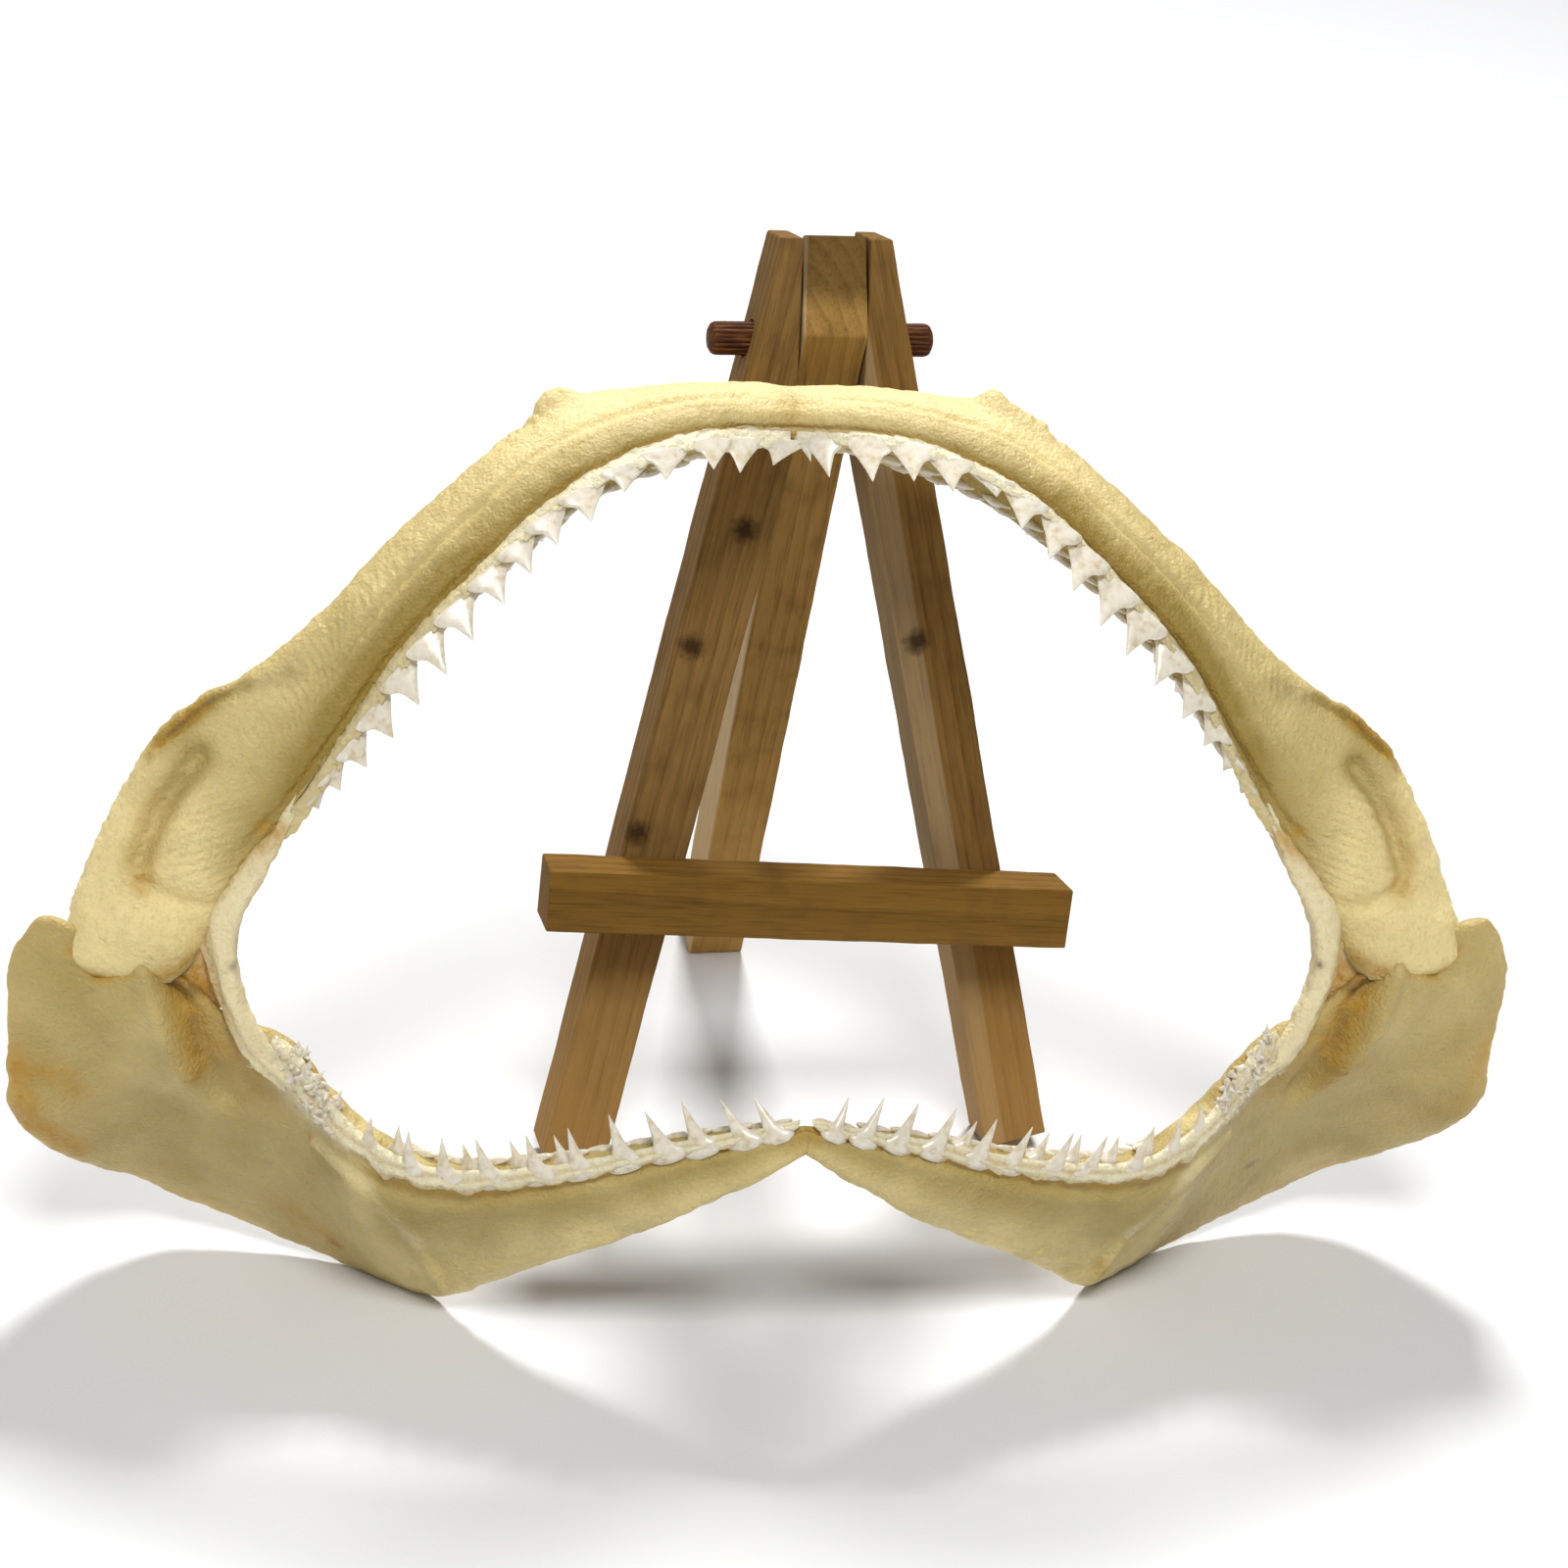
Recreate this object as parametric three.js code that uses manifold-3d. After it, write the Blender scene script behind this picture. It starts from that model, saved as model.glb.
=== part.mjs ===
// The dried jaws of a small whaler shark, opened into a ring and leaned against a mini wooden easel.
// Millimetres, +Z up, +Y to the back. While it is built, X = 0 is the jaws' plane of symmetry, Y = 0 is
// near the easel's front feet and Z = 0 is the table. The last step moves the origin to the middle of
// the base.
import * as THREE from "three";
import { mergeVertices } from "three/addons/utils/BufferGeometryUtils.js";
import Module from "manifold-3d";

const wasm = await Module();
wasm.setup();

// ---- Driving dimensions ------------------------------------------------------------------------

const GAP = 0.3; // clearance between pieces that touch
const SUNK = 1.2; // how deep a tooth's root sits in the cartilage

// Each half of a jaw is a row of cross-sections. A section runs from its gum edge, which bears the
// teeth, to its rim, the free edge. front and back are its swell to either side of that line, and droop
// turns the back swell from straight back (0) towards the rim, in degrees. egg makes a section fatter
// towards the gum, and dish hollows its front.
const UPPER_HALF = [
  { gum: [0.2, 4.5, 140.8], rim: [0.2, 14.4, 148.0], front: 4.2, back: 14.1, droop: 35, egg: 0, dish: 0 },
  { gum: [19, -4.0, 142.2], rim: [19, 12.6, 148.4], front: 3.6, back: 13.8, droop: 30, egg: 0, dish: 0 },
  { gum: [37, -12.0, 136.6], rim: [36, 9.0, 147.6], front: 3.4, back: 11.0, droop: 20, egg: 0, dish: 0 },
  { gum: [52, -18.0, 124.8], rim: [50.5, 2.0, 139.4], front: 3.4, back: 9.0, droop: 10, egg: 0, dish: 0 },
  { gum: [64, -22.0, 112.5], rim: [66.5, -7.5, 126.6], front: 3.6, back: 8.0, droop: 0, egg: 0, dish: 0 },
  { gum: [74, -24.0, 97.5], rim: [80, -14.2, 114.0], front: 3.8, back: 6.5, droop: 0, egg: 0.1, dish: 0 },
  { gum: [81.5, -25.3, 86.2], rim: [91.5, -17.2, 105.4], front: 4.2, back: 4.8, droop: 0, egg: 0.2, dish: 1 },
  { gum: [90.5, -28.5, 76.5], rim: [106, -19.8, 92.4], front: 4.6, back: 3.2, droop: 0, egg: -0.1, dish: 2.8 },
  { gum: [95.5, -31.5, 67.5], rim: [114, -23.0, 79.0], front: 5.4, back: 3.2, droop: 0, egg: -0.2, dish: 2.4 },
  { gum: [98.5, -33.0, 62.8], rim: [117, -26.4, 68.4], front: 5.4, back: 4.4, droop: 0, egg: 0, dish: 0 },
  { gum: [104, -33.6, 60.6], rim: [115, -30.4, 61.8], front: 3.0, back: 3.0, droop: 0, egg: 0, dish: 0 },
];
const LOWER_HALF = [
  { gum: [0.2, -61.3, 48.0], rim: [0.2, -64.0, 43.4], front: 2.6, back: 3.4, droop: 0, egg: 0, dish: 0 },
  { gum: [20, -58.4, 43.0], rim: [22.5, -56.8, 25.8], front: 2.8, back: 4.6, droop: 0, egg: 0.2, dish: 0 },
  { gum: [40, -55.6, 37.2], rim: [42, -49.8, 13.6], front: 3.0, back: 5.0, droop: 0, egg: 0.3, dish: 0 },
  { gum: [58, -52.6, 35.0], rim: [53, -43.6, 4.6], front: 3.2, back: 5.0, droop: 0, egg: 0.4, dish: 0.8 },
  { gum: [70, -46.5, 38.0], rim: [60.5, -36.4, -0.6], front: 4.0, back: 4.6, droop: 0, egg: 0.4, dish: -0.6 },
  { gum: [76.5, -42.2, 44.0], rim: [80, -25.0, 1.6], front: 3.0, back: 3.2, droop: 0, egg: 0.5, dish: 0.6 },
  { gum: [82.5, -39.0, 50.6], rim: [106, -18.2, 10.5], front: 3.0, back: 2.8, droop: 0, egg: 0.5, dish: 1.2 },
  { gum: [92.5, -35.6, 54.0], rim: [125.4, -29.6, 29.0], front: 3.2, back: 2.6, droop: 0, egg: 0.5, dish: 1.4 },
  { gum: [96.5, -33.6, 56.8], rim: [127.8, -32.0, 48.0], front: 2.8, back: 2.6, droop: 0, egg: 0.4, dish: 0.6 },
  { gum: [104, -32.6, 58.0], rim: [126.4, -31.4, 60.4], front: 1.4, back: 2.2, droop: 0, egg: 0, dish: 0 },
  { gum: [120.6, -30.6, 62.4], rim: [122, -29.6, 67.2], front: 1.2, back: 1.4, droop: 0, egg: 0, dish: 0 },
];
// The strip of dried gum at each corner of the mouth ties the two jaws together.
const MOUTH_CORNER = [
  { gum: [82.8, -28.1, 82.6], rim: [85.2, -28.3, 83.0], front: 1.3, back: 1.3, droop: 0, egg: 0, dish: 0 },
  { gum: [85.0, -30.0, 77.4], rim: [88.0, -29.8, 76.6], front: 1.6, back: 1.6, droop: 0, egg: 0, dish: 0 },
  { gum: [89.2, -32.8, 71.0], rim: [93.0, -32.6, 70.6], front: 1.8, back: 1.8, droop: 0, egg: 0, dish: 0 },
  { gum: [90.6, -35.4, 63.6], rim: [95.2, -35.2, 62.6], front: 1.8, back: 1.8, droop: 0, egg: 0, dish: 0 },
  { gum: [88.2, -38.5, 54.8], rim: [92.4, -37.9, 54.6], front: 1.6, back: 1.6, droop: 0, egg: 0, dish: 0 },
];

// Swellings on the cartilage: where, how far they spread and how high they stand.
const UPPER_SWELLINGS = [
  { name: "orbital process", at: [40, 12, 147.5], spread: 4.5, height: 3.2 },
  { name: "outer condyle", at: [113, -33, 62.5], spread: 5, height: 1.4 },
  { name: "inner condyle", at: [101, -37, 63], spread: 5, height: 1.2 },
  { name: "muscle bed", at: [100, -33, 76], spread: 7, height: 1.8 },
];
const LOWER_SWELLINGS = [
  { name: "ridge under the joint", at: [104, -36, 52], spread: 6, height: 1.8 },
  { name: "ridge foot", at: [99, -36, 43], spread: 5, height: 1.2 },
];

const UPPER_TEETH = { count: 15, first: 3, spacing: 7.3, width: 7.8, height: 6.8, thick: 2.0 };
const LOWER_TEETH = { count: 15, first: 4.5, spacing: 6.2, width: 6.6, height: 7.0, thick: 2.0 };

// The easel: three softwood sticks, a shelf bar and a dowel that the rear stick swings on.
const EASEL_PLACE = [11.2, 0.8]; // the middle of its front feet
const EASEL_TURN = 3.8; // degrees, seen from above
const LEAN = 9.75; // of the front legs, degrees back from upright
const SPLAY = 12.9; // of each front leg, degrees out from the middle
const STICK_WIDE = 11.8;
const STICK_DEEP = 12.3;
const FOOT_SPREAD = 36.5; // from the middle to a front foot's inner edge
const LEG_TOP = 169.5; // up the leaning front
const REAR_WIDE = 11.3;
const REAR_SLANT = 21.2; // of the rear stick, degrees from upright
const REAR_TOP = 5.5; // from the dowel to the front edge of the rear stick's mitred end
const SHELF = { bottom: 46.5, height: 11.1, deep: 11.2, length: 95.7, tilt: -3.8, offset: -1.7 };
const DOWEL = { up: 151.4, radius: 3, length: 40, round: 1, offset: -0.9 };

const SECTION_SIDES = 14;
const STEPS_PER_SECTION = 3;
const ROUND_SIDES = 24;

const radians = THREE.MathUtils.degToRad;

// ---- Finishes ----------------------------------------------------------------------------------

const finish = (color, roughness) => new THREE.MeshStandardMaterial({ color, roughness, metalness: 0 });
const CARTILAGE = finish("#e8d9a4", 0.45);
const DRIED_GUM = finish("#dcc486", 0.5);
const SOFTWOOD = finish("#b99463", 0.7);
const DARK_DOWEL = finish("#6f5140", 0.65);

// ---- Solids ------------------------------------------------------------------------------------

// A closed geometry as a solid that can be joined and cut.
function solidOf(geometry) {
  const bare = geometry.clone();
  bare.deleteAttribute("normal");
  bare.deleteAttribute("uv");
  const merged = mergeVertices(bare, 1e-4);
  return new wasm.Manifold(
    new wasm.Mesh({
      numProp: 3,
      vertProperties: new Float32Array(merged.attributes.position.array),
      triVerts: new Uint32Array(merged.index.array),
    }),
  );
}

function geometryOf(solid) {
  const mesh = solid.getMesh();
  const geometry = new THREE.BufferGeometry();
  geometry.setAttribute("position", new THREE.BufferAttribute(mesh.vertProperties, 3));
  geometry.setIndex(new THREE.BufferAttribute(mesh.triVerts, 1));
  geometry.computeVertexNormals();
  return geometry;
}

function piece(name, geometry, material) {
  const mesh = new THREE.Mesh(geometry, material);
  mesh.name = name;
  return mesh;
}

// ---- Cartilage ---------------------------------------------------------------------------------

const smoothPath = (points) =>
  new THREE.CatmullRomCurve3(
    points.map((point) => new THREE.Vector3(...point)),
    false,
    "catmullrom",
    0.5,
  );

// The gum edge, the rim and the swell of a jaw half, all read at the same fraction of its length. An
// upper jaw's rim is above its gum edge and a lower jaw's is below, so their sections run round in
// opposite senses.
function halfShape(sections, sense) {
  const gum = smoothPath(sections.map((section) => section.gum));
  const rim = smoothPath(sections.map((section) => section.rim));
  const swell = smoothPath(sections.map(({ front, back, egg }) => [front, back, egg]));
  const hollow = smoothPath(sections.map(({ droop, dish }) => [radians(droop), dish, 0]));
  const middle = (t) => gum.getPoint(t).lerp(rim.getPoint(t), 0.5);
  return { gum, rim, swell, hollow, middle, sense };
}

// Across is the way from gum to rim, and out is the way the front of the jaw faces.
function sectionFrame(shape, t) {
  const nudge = 0.004;
  const along = shape
    .middle(Math.min(t + nudge, 1))
    .sub(shape.middle(Math.max(t - nudge, 0)))
    .normalize();
  const gum = shape.gum.getPoint(t);
  const across = shape.rim.getPoint(t).sub(gum);
  const out = new THREE.Vector3().crossVectors(across, along).normalize();
  return { gum, across, out: out.multiplyScalar(shape.sense) };
}

// One closed loop of points round the jaw at a fraction of its length.
function sectionLoop(shape, t) {
  const { gum, across, out } = sectionFrame(shape, t);
  const { x: front, y: back, z: egg } = shape.swell.getPoint(t);
  const { x: droop, y: dish } = shape.hollow.getPoint(t);
  const rimward = across.clone().normalize();
  const behind = out.clone().multiplyScalar(-Math.cos(droop)).addScaledVector(rimward, Math.sin(droop));
  const loop = Array.from({ length: SECTION_SIDES }, (_, side) => {
    const angle = (2 * Math.PI * side) / SECTION_SIDES;
    const reach = (1 - Math.cos(angle)) / 2;
    const bulge = Math.sin(angle) * (1 + egg * Math.cos(angle));
    const point = gum.clone().addScaledVector(across, reach);
    if (bulge < 0) return point.addScaledVector(behind, -back * bulge);
    return point.addScaledVector(out, front * bulge - dish * Math.sin(angle) ** 4);
  });
  return shape.sense > 0 ? loop : loop.reverse();
}

function raiseSwellings(loops, swellings) {
  for (const loop of loops) {
    const middle = loop.reduce((sum, point) => sum.add(point), new THREE.Vector3());
    middle.divideScalar(loop.length);
    for (const point of loop) {
      const outward = point.clone().sub(middle).normalize();
      for (const { at, spread, height } of swellings) {
        const far = point.distanceTo(new THREE.Vector3(...at)) / spread;
        point.addScaledVector(outward, height * Math.exp(-far * far));
      }
    }
  }
}

// A closed skin over the loops, with a fan of triangles at each end.
function skinOver(loops) {
  const sides = loops[0].length;
  const ends = [loops[0], loops.at(-1)].map((loop) =>
    loop.reduce((sum, point) => sum.add(point), new THREE.Vector3()).divideScalar(sides),
  );
  const points = [...loops.flat(), ...ends];
  const faces = [];
  for (let row = 0; row + 1 < loops.length; row++) {
    for (let side = 0; side < sides; side++) {
      const next = (side + 1) % sides;
      const [a, b] = [row * sides + side, row * sides + next];
      faces.push(a, b, b + sides, a, b + sides, a + sides);
    }
  }
  const [firstEnd, lastEnd] = [points.length - 2, points.length - 1];
  const lastRow = (loops.length - 1) * sides;
  for (let side = 0; side < sides; side++) {
    const next = (side + 1) % sides;
    faces.push(firstEnd, next, side, lastEnd, lastRow + side, lastRow + next);
  }
  const geometry = new THREE.BufferGeometry().setFromPoints(points);
  geometry.setIndex(faces);
  return geometry;
}

function cartilage(sections, sense, swellings = []) {
  const shape = halfShape(sections, sense);
  const rows = (sections.length - 1) * STEPS_PER_SECTION;
  const loops = Array.from({ length: rows + 1 }, (_, row) => sectionLoop(shape, row / rows));
  raiseSwellings(loops, swellings);
  return { shape, solid: solidOf(skinOver(loops)) };
}

// ---- Teeth -------------------------------------------------------------------------------------

// A tooth is cut from a flat outline: x along the row towards the joint, y from the gum to the tip.
function toothBlade(outline, height, thick) {
  const flat = new THREE.Shape(outline.map(([x, y]) => new THREE.Vector2(x, y)));
  const blade = new THREE.ExtrudeGeometry(flat, { depth: thick, bevelEnabled: false });
  blade.translate(0, 0, -thick / 2);
  const position = blade.attributes.position;
  for (let i = 0; i < position.count; i++) {
    const up = THREE.MathUtils.clamp(position.getY(i) / height, 0, 1);
    position.setZ(i, position.getZ(i) * (1 - 0.72 * up));
  }
  return blade;
}

// A broad cusp that slants towards the joint, with a notch and a low heel behind it.
const upperTooth = (width, height, thick) =>
  toothBlade(
    [
      [-width / 2, -SUNK],
      [width / 2, -SUNK],
      [width * 0.5, height * 0.16],
      [width * 0.29, height * 0.34],
      [width * 0.24, height],
      [-width * 0.12, height * 0.42],
      [-width * 0.5, height * 0.14],
    ],
    height,
    thick,
  );

// A slender upright spike on a broad foot.
const lowerTooth = (width, height, thick) =>
  toothBlade(
    [
      [-width / 2, -SUNK],
      [width / 2, -SUNK],
      [width * 0.5, height * 0.12],
      [width * 0.15, height * 0.34],
      [width * 0.05, height],
      [-width * 0.13, height * 0.34],
      [-width * 0.5, height * 0.12],
    ],
    height,
    thick,
  );

// Teeth shrink towards the corner of the mouth.
const toothSize = (place) => 1 - 0.1 * place - 0.5 * place ** 4;

function withTeeth({ shape, solid }, teeth, makeTooth) {
  const gumLength = shape.gum.getLength();
  let joined = solid;
  for (let number = 0; number < teeth.count; number++) {
    const place = number / (teeth.count - 1);
    const size = toothSize(place);
    const travelled = teeth.first + number * teeth.spacing * (1 - 0.06 * place);
    const t = shape.gum.getUtoTmapping(travelled / gumLength);
    const { gum, across, out } = sectionFrame(shape, t);
    const row = shape.gum.getTangent(t);
    const tip = across.clone().negate().projectOnPlane(row).normalize();
    const facing = new THREE.Vector3().crossVectors(row, tip).normalize();
    if (facing.dot(out) < 0) facing.negate();
    const turn = new THREE.Matrix4().makeBasis(row, tip, new THREE.Vector3().crossVectors(row, tip));
    turn.setPosition(gum.addScaledVector(facing, 0.6));
    const tooth = makeTooth(teeth.width * size, teeth.height * size, teeth.thick);
    joined = joined.add(solidOf(tooth.applyMatrix4(turn)));
  }
  return joined;
}

// ---- The easel ---------------------------------------------------------------------------------

function dowelBore(up, deep) {
  const bore = new THREE.CylinderGeometry(DOWEL.radius + GAP, DOWEL.radius + GAP, 80, ROUND_SIDES);
  bore.rotateZ(Math.PI / 2);
  bore.translate(0, deep, up);
  return solidOf(bore);
}

// A front leg lies in the leaning plane: X across, Z up the lean and Y to the back.
function frontLeg(side) {
  const slope = Math.tan(radians(SPLAY));
  const [over, rise] = [STICK_WIDE * Math.cos(radians(SPLAY)), STICK_WIDE * Math.sin(radians(SPLAY))];
  const beside = REAR_WIDE / 2 + GAP; // the mitred inner face clears the rear stick
  const outline = [
    [FOOT_SPREAD, 0],
    [FOOT_SPREAD + over, rise],
    [FOOT_SPREAD + over - (LEG_TOP - rise) * slope, LEG_TOP],
    [beside, LEG_TOP],
    [beside, (FOOT_SPREAD - beside) / slope],
  ];
  const flat = new THREE.Shape(outline.map(([x, z]) => new THREE.Vector2(x, z)));
  const stick = new THREE.ExtrudeGeometry(flat, { depth: STICK_DEEP, bevelEnabled: false });
  stick.rotateX(Math.PI / 2);
  stick.translate(0, STICK_DEEP, 0);
  const leg = solidOf(stick).subtract(dowelBore(DOWEL.up, STICK_DEEP / 2));
  return side < 0 ? leg.mirror([1, 0, 0]) : leg;
}

function shelfBar() {
  const bar = new THREE.BoxGeometry(SHELF.length, SHELF.deep, SHELF.height);
  bar.rotateY(-radians(SHELF.tilt));
  bar.translate(SHELF.offset, -SHELF.deep / 2 - GAP, SHELF.bottom + SHELF.height / 2);
  return bar;
}

function dowel() {
  const half = DOWEL.length / 2;
  const profile = [
    [0, -half],
    [DOWEL.radius - DOWEL.round, -half],
    [DOWEL.radius, DOWEL.round - half],
    [DOWEL.radius, half - DOWEL.round],
    [DOWEL.radius - DOWEL.round, half],
    [0, half],
  ];
  const outline = profile.map(([x, y]) => new THREE.Vector2(x, y));
  const rod = new THREE.LatheGeometry(outline, ROUND_SIDES);
  rod.rotateZ(-Math.PI / 2);
  rod.translate(DOWEL.offset, STICK_DEEP / 2, DOWEL.up);
  return geometryOf(solidOf(rod));
}

// The rear stick hangs from the dowel, along its own Z, with its front to -Y. Its top is mitred at 45
// degrees and its square foot is long enough for the front edge to reach the table.
function rearStick(dowelHeight) {
  const half = STICK_DEEP / 2;
  const slant = radians(REAR_SLANT);
  const foot = -(dowelHeight - half * Math.sin(slant)) / Math.cos(slant);
  const outline = [
    [-half, foot],
    [half, foot],
    [half, REAR_TOP + STICK_DEEP],
    [-half, REAR_TOP],
  ];
  const flat = new THREE.Shape(outline.map(([y, z]) => new THREE.Vector2(y, z)));
  const stick = new THREE.ExtrudeGeometry(flat, { depth: REAR_WIDE, bevelEnabled: false });
  stick.translate(0, 0, -REAR_WIDE / 2);
  stick.rotateX(Math.PI / 2).rotateZ(Math.PI / 2);
  return solidOf(stick).subtract(dowelBore(0, 0));
}

function easel() {
  const front = new THREE.Group();
  front.add(
    piece("easel_leg_left", geometryOf(frontLeg(-1)), SOFTWOOD),
    piece("easel_leg_right", geometryOf(frontLeg(1)), SOFTWOOD),
    piece("easel_crossbar", shelfBar(), SOFTWOOD),
    piece("easel_dowel", dowel(), DARK_DOWEL),
  );
  front.rotation.x = -radians(LEAN);
  front.position.z = STICK_DEEP * Math.sin(radians(LEAN)); // the back edge of each foot is lowest

  const pivot = new THREE.Vector3(0, STICK_DEEP / 2, DOWEL.up)
    .applyEuler(front.rotation)
    .add(front.position);
  const rear = piece("easel_leg_rear", geometryOf(rearStick(pivot.z)), SOFTWOOD);
  rear.position.copy(pivot);
  rear.rotation.x = radians(REAR_SLANT);

  const stand = new THREE.Group().add(front, rear);
  stand.position.set(...EASEL_PLACE, 0);
  stand.rotation.z = radians(EASEL_TURN);
  return stand;
}

// ---- The whole piece ---------------------------------------------------------------------------

// Cuts away what lies below the table, which leaves a small flat at each corner of the chin, and what
// crosses the middle, where the two halves of a jaw meet.
function trimmed(solid) {
  const below = new THREE.BoxGeometry(400, 400, 40);
  below.translate(0, 0, -20);
  const beyond = new THREE.BoxGeometry(40, 400, 400);
  beyond.translate(GAP / 2 - 20, 0, 0);
  return solid.subtract(solidOf(below)).subtract(solidOf(beyond));
}

function jaws() {
  const upper = withTeeth(cartilage(UPPER_HALF, -1, UPPER_SWELLINGS), UPPER_TEETH, upperTooth);
  const lower = withTeeth(cartilage(LOWER_HALF, 1, LOWER_SWELLINGS), LOWER_TEETH, lowerTooth);
  const strip = cartilage(MOUTH_CORNER, -1).solid;
  const halves = [
    ["upper_jaw", trimmed(upper), CARTILAGE],
    ["lower_jaw", trimmed(lower), CARTILAGE],
    ["mouth_corner", strip, DRIED_GUM],
  ];
  const group = new THREE.Group();
  for (const [name, solid, material] of halves) {
    group.add(piece(`${name}_right`, geometryOf(solid), material));
    group.add(piece(`${name}_left`, geometryOf(solid.mirror([1, 0, 0])), material));
  }
  return group;
}

const model = new THREE.Group().add(jaws(), easel());

// The origin is the middle of the base of the box round the whole piece.
const box = new THREE.Box3().setFromObject(model, true);
const middle = box.getCenter(new THREE.Vector3());
model.position.set(-middle.x, -middle.y, -box.min.z);

export default new THREE.Group().add(model);
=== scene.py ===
# %% [markdown]
# # Shark jaws on a mini easel
#
# The dried jaws of a small whaler shark, spread into a ring, lean on a little softwood easel. The CAD
# model gives every piece its place and size. This script carves the cartilage, sets the teeth, lays the
# dried gum over their roots and gives the wood its grain. It starts by loading the CAD model as a frame.

# %% The frame
import math

import bmesh
import bpy
import numpy as np
from mathutils import Matrix, Vector, noise


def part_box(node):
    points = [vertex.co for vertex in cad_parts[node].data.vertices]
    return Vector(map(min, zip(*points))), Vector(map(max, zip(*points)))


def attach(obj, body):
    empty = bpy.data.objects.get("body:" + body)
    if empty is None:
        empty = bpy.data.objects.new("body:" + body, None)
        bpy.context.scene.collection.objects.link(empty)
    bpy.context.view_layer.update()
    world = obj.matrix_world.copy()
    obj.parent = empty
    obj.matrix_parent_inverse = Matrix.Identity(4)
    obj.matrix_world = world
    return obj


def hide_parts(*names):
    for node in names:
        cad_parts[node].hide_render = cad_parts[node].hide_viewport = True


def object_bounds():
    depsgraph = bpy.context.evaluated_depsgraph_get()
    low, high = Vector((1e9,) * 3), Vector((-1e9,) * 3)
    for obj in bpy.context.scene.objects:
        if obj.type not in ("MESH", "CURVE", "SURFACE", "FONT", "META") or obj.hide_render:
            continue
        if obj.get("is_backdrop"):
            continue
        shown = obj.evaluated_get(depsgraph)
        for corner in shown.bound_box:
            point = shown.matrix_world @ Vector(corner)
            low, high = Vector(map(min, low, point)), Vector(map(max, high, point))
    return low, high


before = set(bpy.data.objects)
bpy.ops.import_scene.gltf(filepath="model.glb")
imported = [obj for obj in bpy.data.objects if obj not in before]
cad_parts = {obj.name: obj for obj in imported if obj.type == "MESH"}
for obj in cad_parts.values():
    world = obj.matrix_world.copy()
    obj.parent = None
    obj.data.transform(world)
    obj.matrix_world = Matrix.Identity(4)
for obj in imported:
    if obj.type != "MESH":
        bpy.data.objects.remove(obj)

cad_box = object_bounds()
print("nodes:", ", ".join(sorted(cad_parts)))

# %% [markdown]
# Sizes are written in millimetres, in the jaws' own frame: X is 0 on their plane of symmetry, Z is 0 on
# the table and Y grows to the back. One function takes them to metres in the model's frame, whose origin
# is the middle of the base.

# %% Units
MM = 0.001
BEHIND_JAWS = 15.3725  # how far the model's origin lies behind the jaws' zero line


def metres(points):
    """From the jaws' own frame in millimetres to the model's frame."""
    return (np.asarray(points, float) - (0, BEHIND_JAWS, 0)) * MM


def millimetres(points):
    """The way back."""
    return np.asarray(points, float) / MM + (0, BEHIND_JAWS, 0)


# %% [markdown]
# Colours are picked as sRGB hex, as a paint chart gives them, and shaders want linear light. A material
# is a small tree of nodes. It could be wired by hand in the Shader Editor; here one helper adds any kind
# of node with its settings and its inputs, and hands on the output that the next node needs.

# %% Colour and node helpers
COLOUR_MIX = dict(data_type="RGBA", clamp_factor=True, out=2)  # input 0 is the share, 6 and 7 the colours


def linear(hex_colour):
    parts = [int(hex_colour[i : i + 2], 16) / 255 for i in (1, 3, 5)]
    return tuple(c / 12.92 if c <= 0.04045 else ((c + 0.055) / 1.055) ** 2.4 for c in parts) + (1.0,)


def feed(tree, node, values):
    """Fills a node's inputs, from a dict by socket or from a list in their order. A value is a number,
    a hex colour or another node's output."""
    for key, value in values.items() if isinstance(values, dict) else enumerate(values):
        if isinstance(value, bpy.types.NodeSocket):
            tree.links.new(value, node.inputs[key])
        else:
            node.inputs[key].default_value = linear(value) if isinstance(value, str) else value


def add(tree, kind, values=(), stops=(), out=0, **settings):
    """Adds a node and hands on one of its outputs, or the node itself where out is None. stops are a
    colour ramp's places, each with a hex colour or a grey."""
    node = tree.nodes.new("ShaderNode" + kind)
    for key, value in settings.items():
        setattr(node, key, value)
    feed(tree, node, values)
    if stops:
        elements = node.color_ramp.elements
        while len(elements) < len(stops):
            elements.new(0.5)
        for element, (place, shade) in zip(elements, stops):
            element.position = place
            element.color = linear(shade) if isinstance(shade, str) else (shade, shade, shade, 1)
    return node if out is None else node.outputs[out]


def new_material(name):
    """An empty material with a Principled shader, and its coordinates in millimetres."""
    material = bpy.data.materials.new(name)
    material.use_nodes = True
    tree = material.node_tree
    tree.nodes.clear()
    shader = add(tree, "BsdfPrincipled", out=None)
    add(tree, "OutputMaterial", {"Surface": shader.outputs["BSDF"]}, out=None)
    place = add(tree, "Mapping", {"Vector": add(tree, "TexCoord", out="Object"), "Scale": (1 / MM,) * 3})
    return material, tree, shader, place


# %% [markdown]
# ## The cartilage
#
# A shark's jaw is cartilage, grown as one smooth bar that twists and widens on its way from the middle of
# the mouth to the joint. It could be sculpted by hand from a lump, or pulled over a few profiles. A loft
# was chosen, as the shape is a bar with a changing cross-section: each row below is one section, from
# the gum edge that bears the teeth to the rim, the free edge.

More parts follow.
